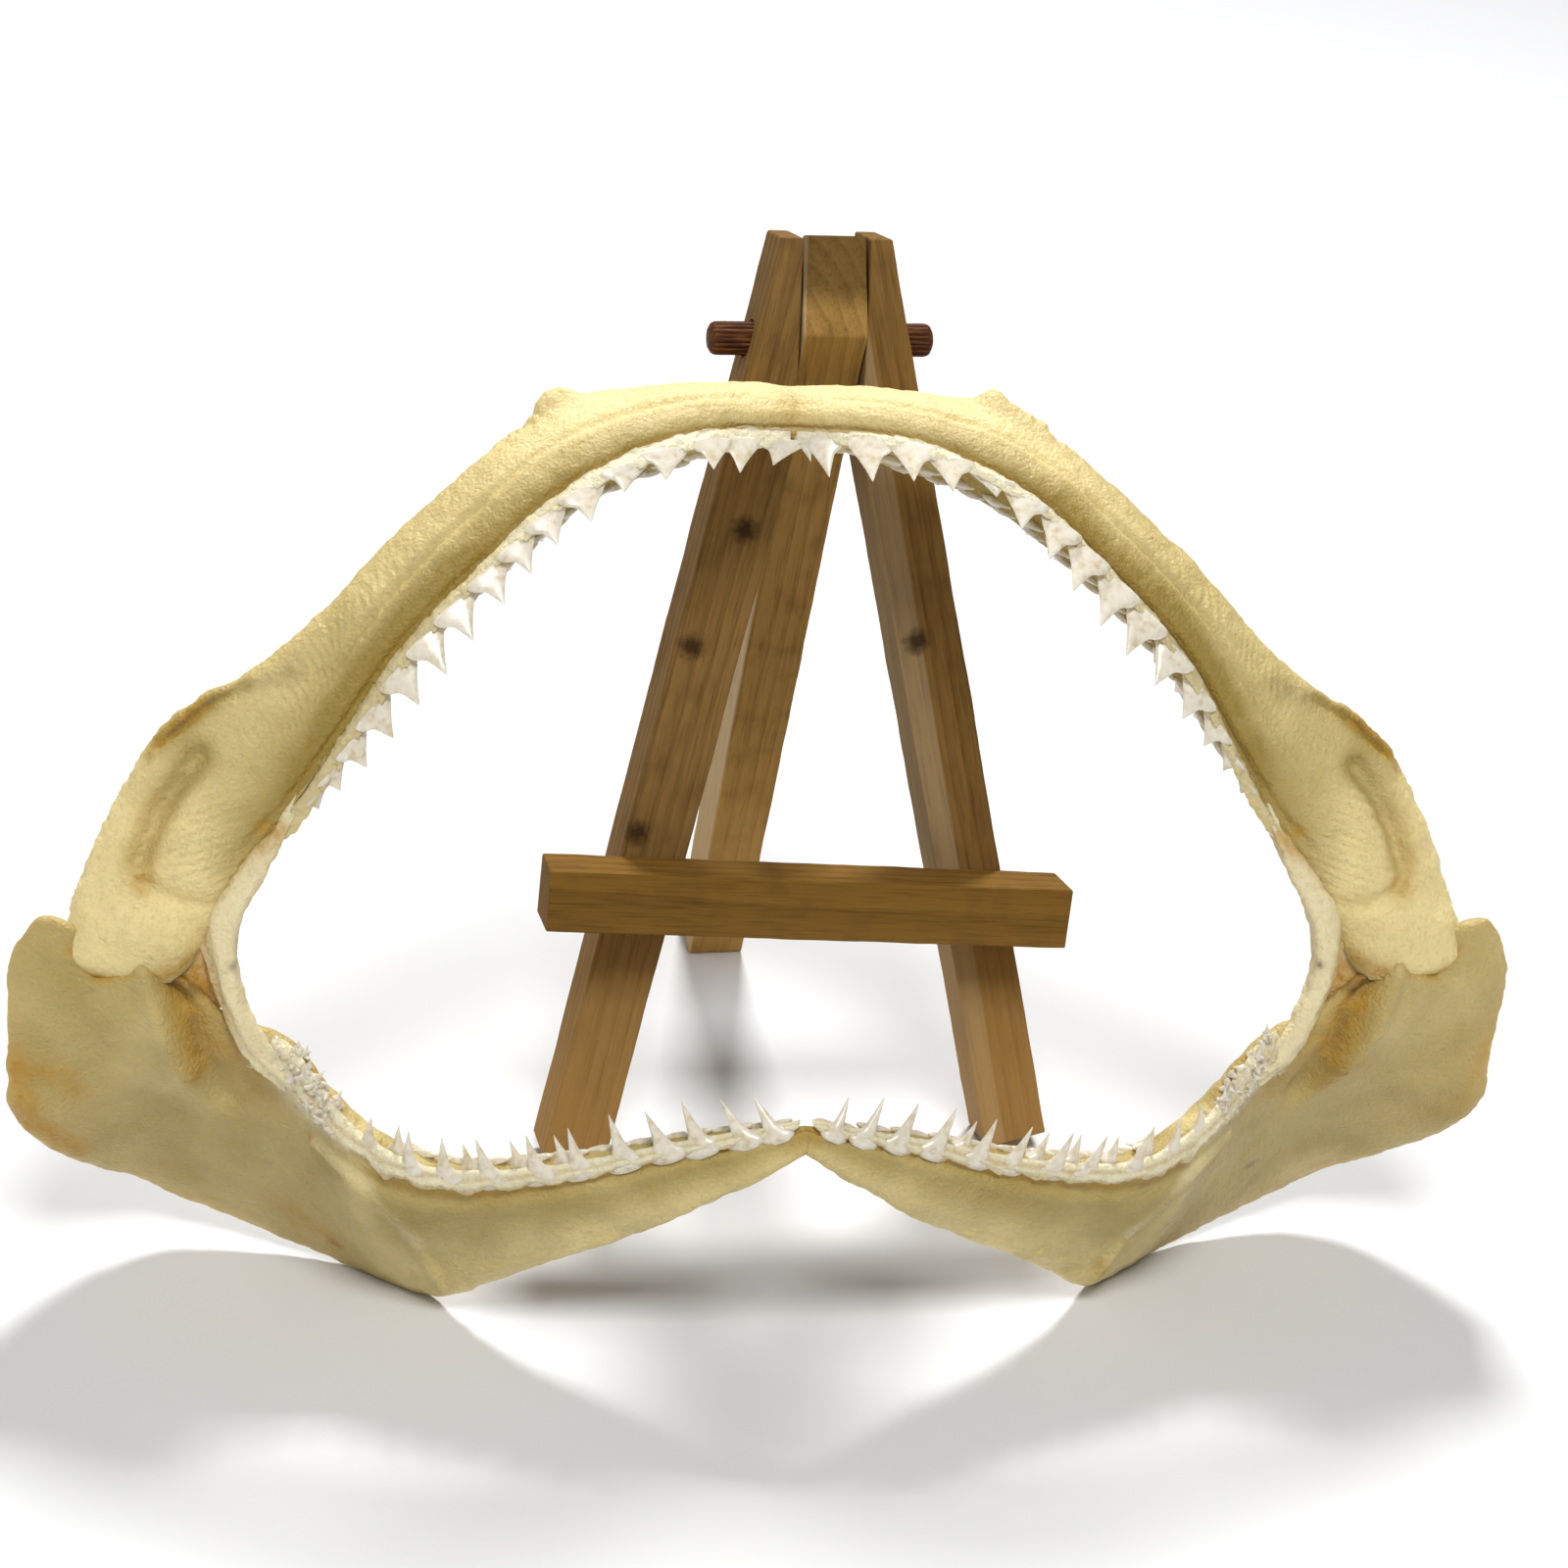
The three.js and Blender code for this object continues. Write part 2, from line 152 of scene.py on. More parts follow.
# %% Jaw sections
# Each row is the gum edge, the rim, how far the front and the back swell out, how many degrees the back
# droops, how egg-shaped the section is, and how deep its front is hollowed.
UPPER_HALF = [
    ((0.2, 4.5, 140.8), (0.2, 14.4, 147.4), 4.2, 14.1, 35, 0, 0),
    ((19, -4.0, 142.2), (19, 12.6, 146.9), 3.6, 13.8, 30, 0, 0),
    ((37, -12.0, 136.6), (36, 9.0, 145.6), 3.4, 11.0, 20, 0, 0),
    ((52, -18.0, 124.8), (50.2, 1.8, 138.7), 3.4, 9.0, 10, 0, 0),
    ((64, -22.0, 112.5), (66.5, -7.5, 126.6), 3.6, 8.0, 0, 0, 0),
    ((74, -24.0, 97.5), (80, -14.2, 114.0), 3.8, 6.5, 0, 0.1, 0),
    ((81.5, -25.3, 86.2), (91.5, -17.2, 105.4), 4.2, 4.8, 0, 0.2, 0.4),
    ((90.5, -28.5, 76.5), (106, -19.8, 92.8), 4.8, 3.2, 0, -0.1, 0.8),
    ((95.5, -31.5, 67.5), (113.3, -23.2, 79.2), 5.2, 3.2, 0, -0.2, 0.8),
    ((98.5, -33.0, 62.6), (117.6, -27.0, 68.8), 5.2, 4.4, 0, 0, 0),
    ((103.6, -34.0, 57.8), (118.0, -31.0, 58.8), 4.4, 3.2, 0, 0, 0),
]
LOWER_HALF = [
    ((0.2, -61.3, 48.0), (0.2, -64.0, 43.4), 2.6, 3.4, 0, 0, 0),
    ((20, -58.4, 43.0), (22.5, -56.8, 25.8), 2.8, 4.6, 0, 0.2, 0),
    ((40, -55.6, 37.2), (42, -49.8, 13.6), 3.0, 5.0, 0, 0.3, 0),
    ((58, -52.6, 35.0), (53, -43.6, 4.6), 3.2, 5.0, 0, 0.4, 0.8),
    ((70, -46.5, 38.0), (60.5, -36.4, -0.6), 4.0, 4.6, 0, 0.4, -0.6),
    ((76.5, -42.2, 44.0), (80, -25.0, 1.6), 3.0, 3.2, 0, 0.5, 0.6),
    ((82.5, -39.0, 50.6), (106, -18.2, 10.5), 3.0, 2.8, 0, 0.5, 1.2),
    ((92.5, -35.6, 54.0), (125.4, -29.6, 29.0), 3.2, 2.6, 0, 0.5, 1.4),
    ((102.6, -34.6, 61.8), (127.8, -32.0, 47.6), 2.6, 2.6, 0, 0.4, 0.6),
    ((113.4, -33.6, 59.6), (127.0, -31.6, 62.0), 1.6, 2.2, 0, 0, 0),
    ((116.6, -31.4, 68.6), (122.4, -30.8, 70.2), 1.5, 1.6, 0, 0, 0),
]
# The strip of dried gum that ties the jaws together at the corner of the mouth.
MOUTH_CORNER = [
    ((80.6, -25.8, 88.6), (82.2, -25.4, 89.2), 0.8, 0.9, 0, 0.4, 0),
    ((83.4, -28.0, 82.6), (86.8, -26.8, 83.2), 1.2, 1.3, 0, 0.8, 0),
    ((86.0, -29.8, 77.4), (92.6, -28.2, 77.2), 1.4, 1.6, 0, 0.9, 0),
    ((89.6, -32.6, 71.0), (97.2, -30.8, 70.2), 1.8, 1.7, 0, 0.9, 0),
    ((90.8, -35.2, 63.6), (95.8, -34.2, 62.6), 2.2, 1.8, 0, 0.8, 0),
    ((88.4, -38.2, 55.6), (92.4, -37.2, 54.2), 2.0, 1.6, 0, 0.4, 0),
    ((84.2, -40.2, 49.2), (88.8, -38.8, 47.2), 1.4, 1.2, 0, 0, 0),
    ((79.0, -42.0, 44.0), (82.4, -40.8, 42.0), 0.8, 0.8, 0, 0, 0),
]
# Shrunken ligament that closes the hollow between the joint and that strip.
JOINT_GUM = [
    ((120.6, -30.6, 60.4), (118.8, -29.6, 65.2), 0.9, 0.9, 0, 0, 0),
    ((113, -32.2, 58.6), (113, -31.0, 63.0), 1.4, 1.3, 0, 0, 0),
    ((104, -33.2, 58.6), (104, -32.0, 64.2), 1.4, 1.3, 0, 0, 0),
    ((98, -33.4, 56.0), (97.4, -31.8, 67.0), 1.2, 1.1, 0, 0, 0.6),
    ((94.4, -33.6, 53.6), (93.8, -31.0, 70.0), 1.1, 1.0, 0, 0, 0.6),
    ((92.6, -34.4, 56.0), (91.8, -31.2, 70.0), 0.8, 0.8, 0, 0, 0),
]

# %% [markdown]
# A smooth curve runs through each column of the table, so a bar is known at every share of its way, and
# not only at its sections. The upper jaw's curves start as their own mirror image, so that its two halves
# meet without a kink.

# %% Lofting the bars
def curve_through(knots, mirror=None):
    """A smooth curve through the knots, read at shares of its way from 0 to 1. Where it has a mirror,
    it goes on behind its start as its own mirror image."""
    knots = np.array(knots, float)
    behind = 2 * knots[0] - knots[1] if mirror is None else knots[1] * mirror
    padded = np.vstack([behind, knots, 2 * knots[-1] - knots[-2]])

    def at(way):
        place = np.clip(way, 0, 1) * (len(knots) - 1)
        step = np.minimum(place.astype(int), len(knots) - 2)
        part = (place - step)[:, None]
        before, start, stop, after = (padded[step + k] for k in range(4))
        leave, arrive = (stop - before) / 2, (after - start) / 2
        cubic = 2 * (start - stop) + leave + arrive
        square = 3 * (stop - start) - 2 * leave - arrive
        return start + part * (leave + part * (square + part * cubic))

    return at


def unit(vectors):
    """The same directions, each 1 long."""
    return vectors / np.maximum(np.linalg.norm(vectors, axis=-1, keepdims=True), 1e-12)


def lofted(sections, sense):
    """The gum edge, the rim and the swell of a bar. Its sense, 1 or -1, tells which side faces out."""
    mirror = (-1, 1, 1) if sections is UPPER_HALF else None
    gum, rim = (curve_through([s[edge] for s in sections], mirror) for edge in (0, 1))
    swell = curve_through([[s[2], s[3], math.radians(s[4]), s[5], s[6]] for s in sections])
    return {"gum": gum, "rim": rim, "swell": swell, "sense": sense}


def frames_along(bar, way):
    """At each place along a bar: its gum edge, the way to the rim, the way it faces and its run."""
    nudge = 0.004
    after, before = np.minimum(way + nudge, 1), np.maximum(way - nudge, 0)
    run = unit(bar["gum"](after) + bar["rim"](after) - bar["gum"](before) - bar["rim"](before))
    gum = bar["gum"](way)
    across = bar["rim"](way) - gum
    return gum, across, unit(np.cross(across, run)) * bar["sense"], run


def bare_skin(bar, turn, way):
    """A place on a bar. turn goes round it, from the gum edge over the front to the rim and back."""
    gum, across, out, _ = frames_along(bar, way)
    front, back, droop, egg, dish = (column[:, None] for column in bar["swell"](way).T)
    angle = 2 * np.pi * turn[:, None]
    bulge = np.sin(angle) * (1 + egg * np.cos(angle))
    behind = -out * np.cos(droop) + unit(across) * np.sin(droop)
    swelling = out * (front * bulge - dish * np.sin(angle) ** 4)
    return gum + across * (1 - np.cos(angle)) / 2 + np.where(bulge < 0, behind * back * -bulge, swelling)


def facing(bar, turn, way):
    """The direction that a bar's skin faces at a place."""
    step = 2e-3
    low, high = np.maximum(way - step, 0), np.minimum(way + step, 1)
    round_it = bare_skin(bar, turn + step, way) - bare_skin(bar, turn - step, way)
    along_it = bare_skin(bar, turn, high) - bare_skin(bar, turn, low)
    return unit(np.cross(round_it, along_it)) * bar["sense"]


BARS = {
    "upper_jaw": lofted(UPPER_HALF, -1),
    "lower_jaw": lofted(LOWER_HALF, 1),
    "mouth_corner": lofted(MOUTH_CORNER, -1),
    "joint_gum": lofted(JOINT_GUM, -1),
}
for name, bar in BARS.items():
    ends = bar["gum"](np.array([0.0, 1.0]))
    print(name, "gum edge runs", np.round(ends[0], 1), "to", np.round(ends[1], 1), "mm")

# %% [markdown]
# A closed skin is made from a flat grid, rolled up like a sheet of dough: create_grid makes it, each
# vertex moves to its place, remove_doubles welds the seam and holes_fill closes the two ends. Other ways
# are to bridge a loop per section, or to skin a path, but a grid also gives each vertex its own place
# round and along the bar, which the carving and the colours below need.

# %% The rolled grid
PAINTS = ("tone", "amber", "brown", "white")
SAME_SPOT = 1e-6  # metres between vertices that count as one
CREASE = math.radians(55)  # a sharper fold than this keeps its edge


def roll_up(bm, around, along, shape, paint=None):
    """Adds a rolled skin to a bmesh. shape gives places in mm, and paint gives shares from 0 to 1."""
    layers = {name: bm.verts.layers.float.get(name) or bm.verts.layers.float.new(name) for name in PAINTS}
    made = bmesh.ops.create_grid(bm, x_segments=around, y_segments=along, size=0.5)["verts"]
    flat = np.array([vert.co for vert in made])
    turn, way = flat[:, 0] + 0.5, flat[:, 1] + 0.5
    places = shape(turn, way)
    for vert, place in zip(made, metres(places)):
        vert.co = place
    for name, share in (paint(places, turn, way) if paint else {}).items():
        for vert, value in zip(made, share):
            vert[layers[name]] = value
    bmesh.ops.remove_doubles(bm, verts=made, dist=2 * SAME_SPOT)


def finish_piece(bm, name, material, body, replaces=(), mirrored=False):
    """Turns a bmesh into a smooth piece that rides on a body. The left half is the right one mirrored."""
    bmesh.ops.holes_fill(bm, edges=[edge for edge in bm.edges if edge.is_boundary], sides=0)
    if mirrored:
        bmesh.ops.scale(bm, vec=(-1, 1, 1), verts=bm.verts)
    bmesh.ops.recalc_face_normals(bm, faces=bm.faces)
    for face in bm.faces:
        face.smooth = True
    for edge in bm.edges:
        edge.smooth = edge.calc_face_angle(0) < CREASE
    mesh = bpy.data.meshes.new(name)
    bm.to_mesh(mesh)
    bm.free()
    piece = bpy.data.objects.new(name, mesh)
    bpy.context.scene.collection.objects.link(piece)
    mesh.materials.append(material)
    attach(piece, body)
    if replaces:
        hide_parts(*replaces)
    print(f"{name}: {len(mesh.polygons)} faces")
    return piece


# %% [markdown]
# The surface is carved with soft strokes, as with a finger in clay: each stroke follows a short line, has
# a width and raises or sinks the skin along the way it faces. Bumps, ridges, grooves and the hollows of
# the muscles are strokes. Unevenness on top of them comes from noise, in millimetres.

# %% Carving tools
def far_from(places, line):
    """How far each place is from a line of points, in mm."""
    line = np.array(line, float)
    if len(line) == 1:
        return np.linalg.norm(places - line[0], axis=1)
    nearest = np.full(len(places), np.inf)
    for start, stop in zip(line[:-1], line[1:]):
        reach = stop - start
        part = np.clip((places - start) @ reach / (reach @ reach), 0, 1)
        nearest = np.minimum(nearest, np.linalg.norm(places - start - part[:, None] * reach, axis=1))
    return nearest


def stroke(places, line, width):
    """How strongly a soft stroke along a line touches each place, from 0 to 1."""
    return np.exp(-((far_from(places, line) / width) ** 2))


def band(values, middle, width):
    """1 at the middle, and gently down to 0 on both sides of it."""
    return np.exp(-(((values - middle) / width) ** 2))


def ease(values, start, stop):
    """0 before the start, 1 after the stop, and a soft slope between them."""
    share = np.clip((values - start) / (stop - start), 0, 1)
    return share * share * (3 - 2 * share)


def uneven(places, size, seed, octaves=3):
    """Noise from about -1 to 1 with lumps of a size in mm."""
    shift = Vector((seed * 17.3, seed * 5.1, seed * 9.7))
    scaled = places / size
    return np.array([noise.fractal(Vector(p) + shift, 0.8, 2.1, octaves) for p in scaled])


# %% [markdown]
# Each stroke of the carving has the name that an anatomist or a carver would give it. The upper jaw has a
# bed for the biting muscle near its joint, grooves round that bed, and two rounded knobs, the condyles.
# The lower jaw has a ridge under the joint and a thin wide wing behind it.

# %% Strokes of the carving
UPPER_STROKES = {  # line, width and height in mm
    "foot of the orbital process": ([(41, 11, 147)], 5.0, 0.5),
    "ridge below the process": ([(41, 9.5, 147), (46, 6, 143.6), (50, 3, 140)], 2.4, 0.4),
    "outer condyle": ([(116.6, -31.8, 62.6)], 4.2, 1.6),
    "inner condyle": ([(101, -37, 63)], 5.0, 1.4),
    "muscle bed": ([(96.8, -27, 87), (98.8, -30.2, 79)], 5.6, 2.4),
    "joint bar": ([(113, -31, 68.5), (103.6, -35.2, 66.8), (97, -36, 66.5)], 2.6, 1.4),
    "groove outside the bed": (
        [(97.5, -25, 95.5), (100.4, -26.6, 91.4), (104, -28, 86), (106.4, -30, 79.6)],
        2.2,
        -2.8,
    ),
    "pit below the groove": ([(106, -31.4, 76.1)], 1.5, -1.3),
    "outer rim": ([(99, -18, 101), (104, -19, 96.5), (110, -21.5, 89), (114.5, -24.5, 79)], 2.6, 0.2),
    "flange": ([(95, -17.8, 102.4), (98.5, -18.4, 100), (102.5, -19.2, 96.6)], 3.2, 1.2),
    "fold inside the rim": ([(90.4, -19.8, 106), (97, -20.2, 101.8), (103, -20.6, 96)], 1.0, -1.3),
    "crease in the rim": ([(105.4, -21.4, 93), (108.6, -23, 87.5), (110.4, -25.4, 80)], 0.9, -0.7),
    "step under the bed": ([(104.6, -31.6, 75), (99.6, -32.4, 72.6), (95, -33, 72.4)], 1.5, -1.1),
    "crack by the strip": ([(94.6, -34.8, 69.8), (91.6, -33, 74.6), (87.6, -30.5, 80.5)], 1.1, -1.6),
    "torn tendon": ([(96, -31, 70.5), (95, -31, 67)], 1.4, 0.8),
}
PROCESS = {  # the two orbital processes, on the rim, aren't alike
    1: [
        ([(34.2, 7.6, 148)], 2.4, 1.6),
        ([(34.2, 7.6, 148), (38.5, 6, 147), (42.6, 4.6, 145.2)], 2.2, 1.6),
    ],
    -1: [([(38.6, 7, 146), (40.6, 6, 145.2)], 2.4, 2.6)],
}
LOWER_STROKES = {
    "ridge under the joint": ([(104, -36, 53)], 6.0, 1.8),
    "ridge foot": ([(99, -36, 43)], 5.0, 1.2),
    "crest of the ridge": ([(105.4, -35.6, 61), (102.9, -36.6, 54), (98.6, -36.6, 42.5)], 1.7, 1.9),
    "groove inside the ridge": (
        [(100.6, -35, 60), (98.2, -36.4, 53), (95.6, -36.4, 43), (93, -34, 36)],
        2.4,
        -2.6,
    ),
    "muscle hollow": ([(92.5, -37, 49), (90, -36.5, 42)], 4.6, -1.4),
    "lip of the socket": ([(117.6, -32.8, 63), (112, -34, 59.8), (105.6, -35.4, 61)], 1.7, 1.0),
    "hollow of the wing": ([(116, -33, 44), (108, -30, 34)], 9.0, -0.8),
    "raised tooth bed": ([(87.5, -38.8, 48.5), (80.5, -41, 41.5), (74.5, -45, 37.5)], 3.0, 1.1),
    "crease to the chin": ([(77.7, -41.7, 33.6), (69.4, -47.4, 28), (61, -47, 17), (57, -45, 7)], 1.2, 1.3),
    "foot of the crease": ([(75.7, -40.5, 30.6), (67, -45.6, 25), (59.5, -45, 14)], 1.8, -0.9),
    "wing's corner": ([(126.5, -30.5, 34), (122, -27.5, 25), (113, -22.5, 16.4)], 4.5, 0.9),
    "line above the chin": ([(56, -47, 9), (44, -51, 16), (30, -56, 23)], 1.0, 0.5),
    "chin's corner": ([(58, -42, 4), (54, -46, 7)], 2.6, 0.8),
}


# %% [markdown]
# Carving adds the strokes up. It also lays on what runs along a whole bar: the step where the gum ends,
# the long groove below the rim, the wrinkles of dried skin and the torn fibres in the muscle bed.

# %% Carving
def carve(name, side, places, turn, way, seed):
    """How far a jaw's skin stands out of its plain loft, in mm."""
    rise = np.zeros(len(places))
    front = (turn > 0) & (turn < 0.5)
    reach = (1 - np.cos(2 * np.pi * turn)) / 2
    sunk_here = front * ease(reach, 0, 0.04) * (1 - ease(reach, 0.94, 0.99))  # grooves stay off the edges
    strokes = list((UPPER_STROKES if name == "upper_jaw" else LOWER_STROKES).values())
    for line, width, height in strokes + (PROCESS[side] if name == "upper_jaw" else []):
        rise += height * stroke(places, line, width) * (sunk_here if height < 0 else 1)
    if name == "upper_jaw":
        toothed = 1 - ease(way, 0.62, 0.72)
        rise += front * toothed * (0.25 * band(reach, 0.27, 0.1) - 0.75 * band(reach, 0.09, 0.04))
        long_groove = ease(way, 0.02, 0.12) * (1 - ease(way, 0.5, 0.66))
        rise += front * long_groove * (0.35 * band(reach, 0.4, 0.04) - 0.7 * band(reach, 0.5, 0.05))
        wander = uneven(places, 7, seed + 3, 3)  # bends the wrinkles and breaks them up
        wrinkles = np.sin(way * 600 + 6 * wander) * np.clip(0.6 + wander, 0, 1)
        rise += 0.24 * wrinkles * band(way, 0.47, 0.13) * band(reach, 0.6, 0.22) * front
        fibres = np.sin(places[:, 2] * 4.1 + places[:, 0] * 1.3 + 1.6 * uneven(places, 6, seed + 4, 2))
        rise += 0.3 * fibres * stroke(places, [(96.5, -27.5, 87.5), (98, -30, 81)], 6.5) * front
        torn = stroke(places, [(39, 6, 147), (47, 2, 142)], 2.0)  # a rough edge beside the process
        rise += 0.7 * torn * uneven(places, 1.6, seed + 6, 2)
    else:
        gum_step = 1 - ease(way, 0.4, 0.5)
        rise += front * gum_step * (0.3 * band(reach, 0.24, 0.06) - 0.5 * band(reach, 0.14, 0.035))
        rise += 0.5 * uneven(places, 2.2, seed + 5, 2) * stroke(places, [(87, -39, 48), (76, -45, 38)], 3.5)
    off_middle = 1 - np.exp(-((places[:, 0] / 3) ** 2))  # the halves match where they meet, in a dip
    rise -= (0.7 if name == "upper_jaw" else 0.3) * np.exp(-((places[:, 0] / 4) ** 2))
    rise += off_middle * (0.36 * uneven(places, 9, seed) + 0.18 * uneven(places, 2.4, seed + 1))
    worn_rim = band(reach, 1, 0.05) * ease(way, 0.55, 0.68)
    return rise + (0.4 if name == "upper_jaw" else 0.12) * worn_rim * uneven(places, 2.2, seed + 2)


# %% [markdown]
# Old jaws aren't one colour. Oil has turned the cartilage amber in spots and along the grooves, dark brown
# lines run in some cracks and folds, and the gum is bleached white. Shade is painted in as well: amber and
# brown lines in the grooves and folds along the gum, where shade falls. These patches follow the surface, so
# they are painted on the vertices as shares from 0 to 1, with the same strokes as the carving, and the shader
# turns the shares into colour. The two sides have their own stains.

# %% Stains
AMBER = {  # line, width in mm and strength, on both sides
    "upper_jaw": [
        ([(0, 0.8, 141.6)], 3.8, 0.9),
        ([(0, 3, 144), (0, 8, 150)], 2.0, 0.7),
        ([(106, -31.4, 76.1)], 1.8, 1.1),
        ([(96.5, -20.2, 102), (99.6, -20.4, 99.5), (104.6, -21.2, 94)], 1.0, 0.9),
        ([(103.6, -27.8, 86.9), (106.5, -30, 78)], 2.4, 0.45),
        ([(94.6, -34.8, 69.8), (91.6, -33, 74.6), (87.6, -30.5, 80.5)], 1.3, 1.0),
        ([(116.5, -33.4, 61.4), (110.4, -36.4, 58.8), (104, -37, 61.4), (97, -35.8, 64.6)], 1.3, 0.85),
        ([(87, -28, 84.5)], 1.3, 0.9),
    ],
    "lower_jaw": [
        ([(0, -62.5, 46.5)], 2.5, 0.6),
        ([(100.4, -35, 60), (98.2, -36.4, 53), (95.8, -36.4, 44)], 2.6, 1.0),
        ([(91.5, -37, 48), (88.5, -37, 41)], 4.5, 0.5),
        ([(117, -33.6, 64.6), (112.5, -35, 60.6), (106, -36, 62.4)], 0.9, 0.9),
        ([(74, -47.5, 39), (80, -42, 47)], 1.8, 0.6),
    ],
    "mouth_corner": [
        (
            [(86.6, -27, 83), (92, -29, 77), (96.6, -31.4, 70), (95.6, -34, 62.4), (92.2, -37.2, 54.2)],
            1.3,
            0.7,
        ),
        ([(84, -28, 84), (87.6, -28.6, 80)], 1.2, 0.9),
    ],
    "joint_gum": [([(118, -31.4, 63), (110, -33, 61), (101, -33, 60), (92, -33, 60)], 5.0, 1.0)],
}
LEFT_AMBER = {
    "lower_jaw": [
        ([(126.3, -32.6, 43.3), (125.7, -32.1, 36.2), (123.6, -30.5, 30), (117.5, -26.6, 23)], 1.9, 1.0),
        ([(126.3, -32.6, 42.3), (119.6, -33.5, 41), (117.2, -33, 37.4)], 1.8, 0.7),
        ([(74.7, -31.6, 6.6)], 1.7, 1.5),
        ([(75.5, -31.6, 8), (82, -29.3, 11.6)], 2.8, 0.55),
        ([(78.3, -41.4, 33.8)], 0.9, 1.4),
    ]
}
RIGHT_AMBER = {
    "lower_jaw": [
        ([(56.8, -45.5, 9.6), (58, -44.5, 6.4)], 1.2, 1.0),
        ([(126.5, -32.4, 45), (124.5, -31, 33)], 1.6, 0.45),
        ([(100, -35, 44), (96, -35, 38)], 3.4, 0.5),
    ],
    "upper_jaw": [([(95, -18.4, 101), (103, -19.4, 96)], 1.4, 0.7)],
}
BROWN = {
    "upper_jaw": [
        ([(91.5, -19.8, 105.6), (97, -20.2, 101.8), (102.4, -20.8, 96.8)], 0.4, 0.6),
        ([(90, -20.4, 105.6), (82, -20.2, 108.6)], 1.5, 0.3),
        ([(94.4, -34.8, 70.2), (92.2, -33.4, 73.6)], 0.7, 0.9),
    ],
    "lower_jaw": [
        ([(102, -34.6, 61), (98.6, -35.4, 58)], 1.2, 0.85),
        ([(98, -36, 53), (97, -36, 47)], 0.8, 0.5),
    ],
    "mouth_corner": [([(91.5, -36.6, 63.6)], 0.6, 0.9)],
    "joint_gum": [([(102.5, -33.6, 62.5), (99.4, -33, 62.6)], 1.1, 0.8)],
}
LEFT_BROWN = {"lower_jaw": [([(74.9, -31.8, 6.4)], 0.8, 0.7), ([(78.3, -41.4, 33.8)], 0.4, 0.7)]}
RIGHT_BROWN = {
    "lower_jaw": [([(90.3, -28.6, 19.6), (88.9, -28.8, 18.8), (86.9, -29.3, 18.4)], 0.4, 1.2)],
    "upper_jaw": [([(14.5, -2.0, 144.1)], 0.45, 1.3)],
}


# %% [markdown]
# A stain's edge is ragged, so its stroke is multiplied by noise. The overall tone goes from 0, clean and
# ivory, to 1, thick and oily, and drifts a little everywhere. Part of it is painted light and shade: the
# upper jaw's muscle bed is paler, a painted highlight where it bulges into the light, and the grooves round
# it are darker, partly the oil's colour and partly painted shade.

# %% Painting the vertices
def stain(tables, name, places, seed):
    """How strongly a stain shows at each place, with ragged edges."""
    share = np.zeros(len(places))
    ragged = 1 + 0.35 * uneven(places, 2.0, seed + 7, 2)
    for table in tables:
        for line, width, strength in table.get(name, []):
            share = np.maximum(share, strength * stroke(places, line, width * 1.25) * ragged)
    return np.clip(share, 0, 1)


def paint_jaw(name, side, seed):
    """The shares of each paint on a bar, for roll_up."""
    amber = [AMBER, RIGHT_AMBER if side > 0 else LEFT_AMBER]
    brown = [BROWN, RIGHT_BROWN if side > 0 else LEFT_BROWN]

    def shares(places, turn, way):
        reach = (1 - np.cos(2 * np.pi * turn)) / 2
        front = (turn > 0) & (turn < 0.5)
        drift = 0.12 * uneven(places, 14, seed + 9, 2)
        if name == "upper_jaw":
            tone = (1 - ease(reach, 0.02, 0.6)) * (0.45 + 0.5 * ease(way, 0.03, 0.16))
            tone *= 1 - 0.75 * ease(way, 0.45, 0.7)
            tone += 0.42 * ease(way, 0.15, 0.4) * (1 - ease(way, 0.66, 0.76)) * front
            # painted highlight: paler on the muscle bed, where its bulge faces the light
            tone -= 0.45 * stroke(places, [(97, -28, 85), (98.6, -30.5, 78)], 5)
            # darker in the groove round the bed and in the fold inside the rim: partly the oil's colour,
            # partly painted shade
            tone += 0.95 * stroke(places, UPPER_STROKES["groove outside the bed"][0], 2.4)
            tone += 0.8 * stroke(places, UPPER_STROKES["fold inside the rim"][0], 1.5)
            # painted shade: a thin amber line in the groove along the top of the gum
            line = 0.3 * band(reach, 0.1, 0.035) * (1 - ease(way, 0.6, 0.7)) * front
            white = 0 * reach
        elif name == "lower_jaw":
            face = 1 - ease(way, 0.36, 0.42)
            tone = 0.62 * ease(way, 0.36, 0.46) + face * (0.72 - 0.42 * ease(reach, 0.3, 0.75))
            # painted shade: an amber line in the fold under the gum band
            line = 0.75 * band(reach, 0.115, 0.035) * face * front
            white = 0.5 * stroke(places, [(86.5, -39, 48), (80, -41.5, 41.5), (74.5, -45.5, 38)], 3.0) * front
            white += 0.5 * stroke(places, [(77.7, -41.7, 33.6), (69.4, -47.8, 28.6), (61, -47.6, 17.4)], 1.2)
        else:
            tone, line, white = 0.05 + 0 * reach, 0 * reach, 0.15 + 0 * reach
        tone = np.clip(tone + drift, 0, 1)
        # painted shade: a thin dark brown line in the crack along the top of the right upper gum
        crack = 0.8 * band(reach, 0.085, 0.012) * front * ease(way, 0.16, 0.22) * (1 - ease(way, 0.5, 0.6))
        crack = crack * (side > 0 and name == "upper_jaw")
        return {
            "tone": tone,
            "amber": np.maximum(stain(amber, name, places, seed), np.clip(line, 0, 1)),
            "brown": np.maximum(stain(brown, name, places, seed + 1), crack),
            "white": np.clip(white, 0, 1),
        }

    return shares


# %% [markdown]
# Cartilage is lightly see-through wax to the eye: light soaks in a few millimetres and comes out yellow.
# So its shader scatters light under the surface, and its soft sheen is that of dried oil. The fine grain
# is the mosaic of tiny mineral tiles, about half a millimetre wide, that every shark's skeleton is coated
# with. It is drawn as cells 0.6 mm wide under noise, a little coarser than life, so that it shows. Gum is
# the same stuff to the eye, but paler and duller.

